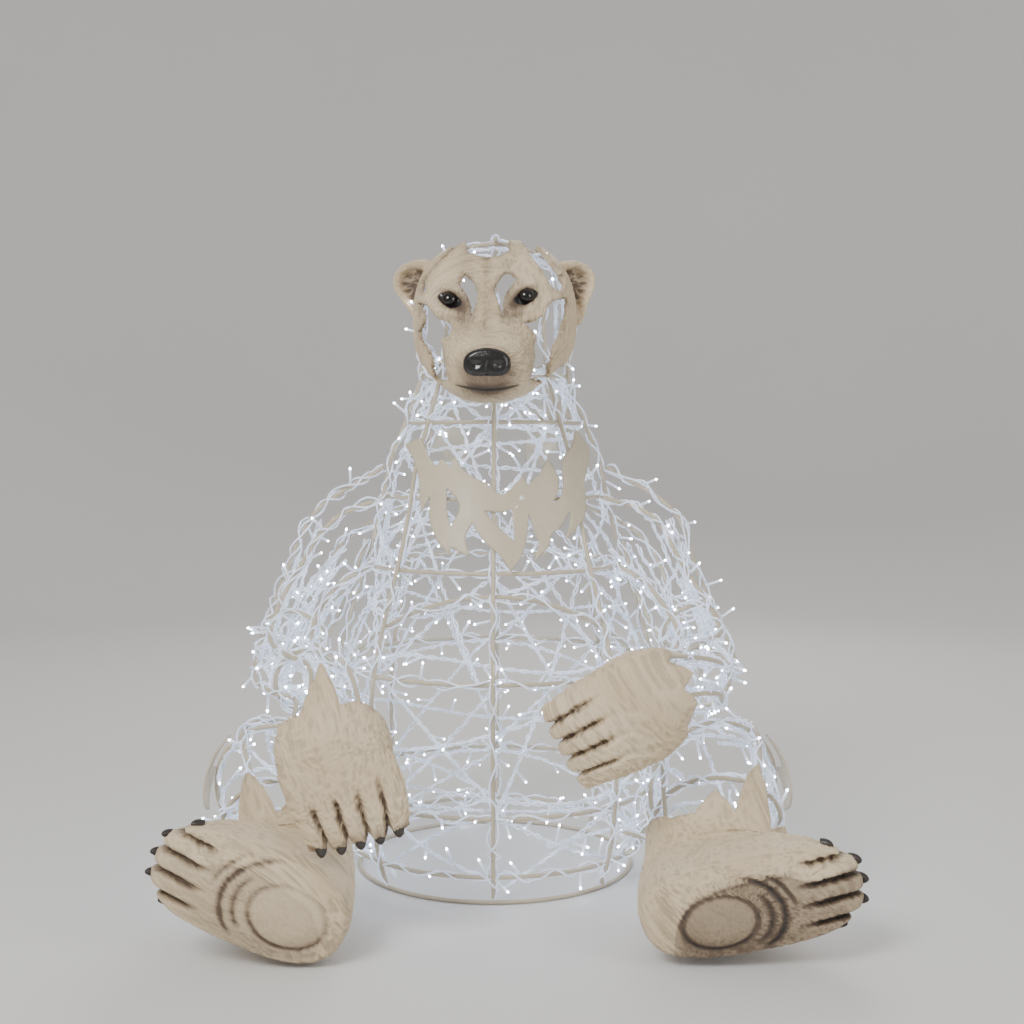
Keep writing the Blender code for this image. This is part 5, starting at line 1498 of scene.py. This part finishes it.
def length_value(name, text, value):
    return bpy.props.FloatProperty(name=name, description=text, default=value, unit="LENGTH")


def colour_value(name, text, value):
    return bpy.props.FloatVectorProperty(name=name, description=text, default=value, subtype="COLOR")


class BearSizes(bpy.types.PropertyGroup):
    wire_radius: length_value("Wire radius", "Radius of one clear wire", 0.0015)
    wire_spacing: length_value("Wire steps", "Length of one step along a wire", 0.008)
    lamp_length: length_value("Lamp length", "Length of a lamp stick", 0.026)
    lamp_pitch: length_value("Lamp pitch", "Distance between lamps along a run", 0.088)
    rod_sides: bpy.props.IntProperty(name="Rod sides", description="Sides of a rod's section", default=12)


class BearColours(bpy.types.PropertyGroup):
    paint: colour_value("Paint", "Cream powder coat", (0.66, 0.57, 0.41))
    paint_worn: colour_value("Worn paint", "Powder coat where it has yellowed", (0.52, 0.45, 0.34))
    grime: colour_value("Grime", "Dust on the rods", (0.26, 0.22, 0.17))
    resin: colour_value("Resin", "Cream resin", (0.60, 0.47, 0.295))
    resin_light: colour_value("Light resin", "Resin on raised hair", (0.76, 0.63, 0.44))
    # Brown wash mixed with painted shade in the carving; the deep colour is painted shade in the deepest
    # creases and also the claws' dark paint
    wash_and_shade: colour_value("Wash", "Brown wash in the carving", (0.165, 0.115, 0.075))
    deep_paint_and_crease_shade: colour_value("Deep wash", "Wash in the deepest creases", (0.035, 0.026, 0.020))
    ink: colour_value("Ink", "Black of nose and claws", (0.006, 0.005, 0.005))
    # The lamps' light, also used for the painted glow on the wires and lamp sticks
    glow: colour_value("Glow", "Cool white lamp light", (0.62, 0.74, 1.0))
    floor: colour_value("Floor", "Pale floor", (0.76, 0.75, 0.735))


GROUPS = ("trunk", "right_arm", "left_arm", "right_leg", "left_leg")


def group_rods(group):
    """The rods of the trunk or of one limb."""
    return trunk_rods() if group == "trunk" else limb_rods(*group.split("_"))


class BEAR_OT_cage(bpy.types.Operator):
    """Rounds every rod of the welded cage and adds its weld beads"""
    bl_idname = "bear.cage"
    bl_label = "Welded cage"

    def execute(self, context):
        for group in GROUPS:
            shape = Shape()
            rods = group_rods(group)
            paths = []
            for points, closed in rods.values():
                path = resample(points, 0.0078, closed)
                paths.append(path)
                sweep(shape, path, ROD_RADIUS, context.scene.bear_sizes.rod_sides, closed)
            beads = meeting_points(paths, ROD_STEP + BEAD_REACH)
            if len(beads):
                angle = np.linspace(-1.5, 1.5, 7)
                profile = BEAD_RADIUS * np.stack([np.cos(angle), np.sin(angle)], -1)
                upright = np.tile([[0.0, 0.0, 1.0]], (len(beads), 1))
                scatter(shape, profile, 8, beads, upright)
            finish_piece(f"{group}_rods", shape, [paint_look], rods)
        return {"FINISHED"}


class BEAR_OT_strings(bpy.types.Operator):
    """Winds the clear wires on the rods and across the panes, and sets their lamps"""
    bl_idname = "bear.strings"
    bl_label = "Light strings"

    def execute(self, context):
        sizes = context.scene.bear_sizes
        strings = string_paths()
        for number, group in enumerate(GROUPS):
            random = np.random.default_rng(41 + number)
            wires, lamps = Shape(), Shape()
            spots, runs = [], []
            trunk = group == "trunk"
            for name, (points, closed) in group_rods(group).items():
                if name == "base_hoop":
                    continue
                path = resample(points, sizes.wire_spacing, closed)
                if closed:
                    path = np.vstack([path, path[:2]])
                if not trunk and not closed and len(path) > 16:
                    path = path[:-CUFF_STEPS]
                runs.append((path, 2 if trunk else 3, WOUND_RADIUS))
            loose = trunk_runs(random) + head_runs() if trunk else limb_runs(*group.split("_"), random)
            for points in loose + strings[group]:
                runs.append((resample(points, sizes.wire_spacing), 2, TWIN_RADIUS))
            for path, strands, radius in runs:
                away = away_from_middle(path, group)
                held = plate_zone(path)[:, None] * -away
                hold = held if held.any() else None
                on_rod = radius == WOUND_RADIUS
                for strand in range(strands):
                    hand = 1 if strand % 2 == 0 else -1
                    pitch = hand * random.uniform(0.055, 0.10) if on_rod else TWIN_PITCH
                    phase = random.uniform(0, 6.28) if on_rod else math.pi * strand
                    wire = wound(path, radius, pitch, phase, int(random.integers(1, 90)), hold)
                    wire[:, 2] = np.maximum(wire[:, 2], sizes.wire_radius)
                    sweep(wires, wire, sizes.wire_radius, WIRE_SIDES)
                spots.append(lamp_spots(path, away, sizes, random))
            spots = np.vstack(spots)
            floor_near = spots[:, 2] + spots[:, 5] * sizes.lamp_length < FLOOR_ROOM
            spots[floor_near, 5] = np.abs(spots[floor_near, 5])
            spots[:, 2] = np.maximum(spots[:, 2], FLOOR_ROOM)
            profile = [(radius, place * sizes.lamp_length) for radius, place, _ in LAMP_RINGS]
            # Painted glow along each stick, brightest by its lamp
            stick_glow = np.tile(np.repeat([ring[2] for ring in LAMP_RINGS], LAMP_SIDES), len(spots))
            scatter(lamps, profile, LAMP_SIDES, spots[:, :3], spots[:, 3:], stick_glow, (0, 0, 0, 0, 1, 1))
            nodes = [f"{place}_light_string" for place in (("trunk", "neck") if trunk else (group,))]
            finish_piece(f"{group}_wires", wires, [cable_look], nodes)
            finish_piece(f"{group}_lamps", lamps, [socket_look, lamp_look], ())
        return {"FINISHED"}


class BEAR_OT_head(bpy.types.Operator):
    """Carves the hollow head mask with its ears, nose and openings, and sets the eyes"""
    bl_idname = "bear.head"
    bl_label = "Head mask"

    def execute(self, context):
        finish_piece("bear_head", mask_shape(), [resin_look], ("head_mask",))
        shape = Shape()
        for eye_x, eye_z in EYES:
            rows, count = 24, 32
            tilt = np.linspace(0.02, math.pi - 0.02, rows)[:, None]
            turns = circle(count)[None, :]
            ball = np.stack([np.sin(tilt) * np.cos(turns), -np.cos(tilt) + 0 * turns,
                             np.sin(tilt) * np.sin(turns)], -1)
            iris = smooth(0.42, 0.36, tilt) + 0 * turns
            points = np.array([eye_x, EYE_DEPTH, eye_z]) + EYE_RADIUS * ball
            step = np.arange(count)
            last = (rows - 1) * count + step
            shape.add(points, [grid_faces(rows, count, flip=True), step[None, :], last[None, ::-1]], 1 - iris)
        finish_piece("bear_eyes", shape, [eye_look], (), weld=True)
        return {"FINISHED"}


class BEAR_OT_hands(bpy.types.Operator):
    """Casts the two hands and the right hand's claws"""
    bl_idname = "bear.hands"
    bl_label = "Hands"

    def execute(self, context):
        for side in ("right", "left"):
            nodes = (f"{side}_hand",)
            finish_piece(f"cast_{side}_hand", hand_shape(side), [resin_look], nodes, weld=True)
        claws = claw_shape(hand_claws("right"))
        finish_piece("right_hand_claws", claws, [resin_look], (), weld=True)
        return {"FINISHED"}


class BEAR_OT_feet(bpy.types.Operator):
    """Casts the two feet and their claws"""
    bl_idname = "bear.feet"
    bl_label = "Feet"

    def execute(self, context):
        for side in ("right", "left"):
            nodes = (f"{side}_foot",)
            finish_piece(f"cast_{side}_foot", foot_shape(side), [resin_look], nodes, weld=True)
            claws = claw_shape(foot_claws(side))
            finish_piece(f"{side}_foot_claws", claws, [resin_look], (), weld=True)
        return {"FINISHED"}


def plate_piece(name, points, axes, edge, holes, node):
    """A flame-cut plate: a fine grid on the skin, cut to its outline and thickened outward."""
    rows, count = points.shape[:2]
    sideways, onward = np.gradient(points, axis=1), np.gradient(points, axis=0)
    normals = unit(np.cross(sideways, onward))
    middle = points.mean((0, 1))
    centre = middle * [0.7, 1, 1] if "knee" in name else middle * [0, 0, 1]
    inward = ((points - centre) * normals).sum() < 0
    normals = -normals if inward else normals
    quads = grid_faces(rows, count, False, inward)
    flat, flat_normals = points.reshape(-1, 3).copy(), normals.reshape(-1, 3)
    quads = cut(flat, flat_normals, quads, axes, edge, True)
    for hole in holes:
        quads = cut(flat, flat_normals, quads, axes, hole, False)
    used, index = np.unique(quads, return_inverse=True)
    shape = Shape()
    shape.add(flat[used], [index.reshape(quads.shape)])
    piece = finish_piece(name, shape, [paint_look], (node,))
    thicken = piece.modifiers.new("thickness", "SOLIDIFY")
    thicken.thickness, thicken.offset = PLATE_THICKNESS, 1.0


class BEAR_OT_plates(bpy.types.Operator):
    """Cuts the collar, nape and knee plates from bent sheet"""
    bl_idname = "bear.plates"
    bl_label = "Flame plates"

    def execute(self, context):
        turns = np.linspace(-1.45, 1.45, 236)[None, :]
        heights = np.linspace(0.445, 0.672, 108)[:, None]
        skin = trunk_skin(turns, heights, PLATE_STEP)
        holes = [curved(hole) for hole in COLLAR_HOLES]
        plate_piece("flame_collar", skin, (0, 2), curved(COLLAR_EDGE), holes, "collar")
        for side, sign in (("left", 1), ("right", -1)):
            turns = sign * np.linspace(1.75, 3.05, 92)[None, :]
            skin = trunk_skin(turns, np.linspace(0.585, 0.715, 68)[:, None], PLATE_STEP)
            edge = curved([(sign * x, z) for x, z in NAPE_EDGE])
            plate_piece(f"flame_{side}_nape", skin, (0, 2), edge, [], f"{side}_nape_plate")
            turns = -sign * np.linspace(-1.1, 1.1, 110)[None, :]
            skin = limb_skin(LIMBS[f"{side}_leg"], np.linspace(0.9, 3.6, 110)[:, None], turns, PLATE_STEP)
            plate_piece(f"flame_{side}_knee", skin, (1, 2), curved(KNEE_EDGE), [], f"{side}_knee_plate")
        return {"FINISHED"}


class BEAR_OT_stage(bpy.types.Operator):
    """Sets the pale floor, the soft lights and the camera at the photograph's angle"""
    bl_idname = "bear.stage"
    bl_label = "Stage"

    def execute(self, context):
        scene = context.scene
        bend = np.linspace(0, math.pi / 2, 25)
        radius = np.concatenate([[0.01, 1.5], WALL_FOOT + WALL_BEND * np.sin(bend), [WALL_FOOT + WALL_BEND]])
        height = np.concatenate([[0.0, 0.0], WALL_BEND * (1 - np.cos(bend)), [WALL_TOP]])
        turns = circle(WALL_SIDES)[None, :]
        rings = np.stack([radius[:, None] * np.cos(turns), radius[:, None] * np.sin(turns),
                          height[:, None] + 0 * turns], -1)
        faces = [grid_faces(len(radius), WALL_SIDES, flip=True), np.arange(WALL_SIDES)[None, :]]
        shape = Shape()
        shape.add(rings - SHIFT, faces)
        floor = bpy.data.objects.new("floor", shape.mesh("floor"))
        floor.data.materials.append(look_named(floor_look))
        scene.collection.objects.link(floor)
        world = bpy.data.worlds.new("studio")
        world.use_nodes = True
        sky = world.node_tree.nodes["Background"].inputs
        sky["Color"].default_value, sky["Strength"].default_value = SKY_COLOUR, SKY_STRENGTH
        scene.world = world
        for name, place, target, width, power in LIGHTS:
            lamp = bpy.data.lights.new(name, "AREA")
            lamp.shape, lamp.size, lamp.energy = "DISK", width, power
            holder = bpy.data.objects.new(name, lamp)
            scene.collection.objects.link(holder)
            holder.location = place
            direction = Vector(target) - Vector(place)
            holder.rotation_euler = direction.to_track_quat("-Z", "Y").to_euler()
        camera = bpy.data.cameras.new("photo_camera")
        camera.lens, camera.sensor_width = CAMERA_LENS, SENSOR_WIDTH
        camera.clip_start, camera.clip_end = 0.05, 60.0
        holder = bpy.data.objects.new("photo_camera", camera)
        holder.location = CAMERA_PLACE
        holder.rotation_euler = (math.pi / 2 - CAMERA_PITCH, 0.0, 0.0)
        scene.collection.objects.link(holder)
        scene.camera = holder
        return {"FINISHED"}


class BEAR_PT_panel(bpy.types.Panel):
    bl_label = "Polar bear figure"
    bl_space_type = "VIEW_3D"
    bl_region_type = "UI"
    bl_category = "Bear"

    def draw(self, context):
        for operator in OPERATORS:
            self.layout.operator(operator.bl_idname)
        for group in (context.scene.bear_sizes, context.scene.bear_colours):
            for name in group.__annotations__:
                self.layout.prop(group, name)


OPERATORS = (
    BEAR_OT_stage, BEAR_OT_cage, BEAR_OT_strings, BEAR_OT_head, BEAR_OT_hands, BEAR_OT_feet, BEAR_OT_plates,
)


def register():
    for kind in (BearSizes, BearColours, *OPERATORS, BEAR_PT_panel):
        bpy.utils.register_class(kind)
    bpy.types.Scene.bear_sizes = bpy.props.PointerProperty(type=BearSizes)
    bpy.types.Scene.bear_colours = bpy.props.PointerProperty(type=BearColours)


def unregister():
    del bpy.types.Scene.bear_sizes
    del bpy.types.Scene.bear_colours
    for kind in reversed((BearSizes, BearColours, *OPERATORS, BEAR_PT_panel)):
        bpy.utils.unregister_class(kind)


def main():
    register()
    for step in ("stage", "cage", "strings", "head", "hands", "feet", "plates"):
        getattr(bpy.ops.bear, step)()


if __name__ == "__main__":
    main()
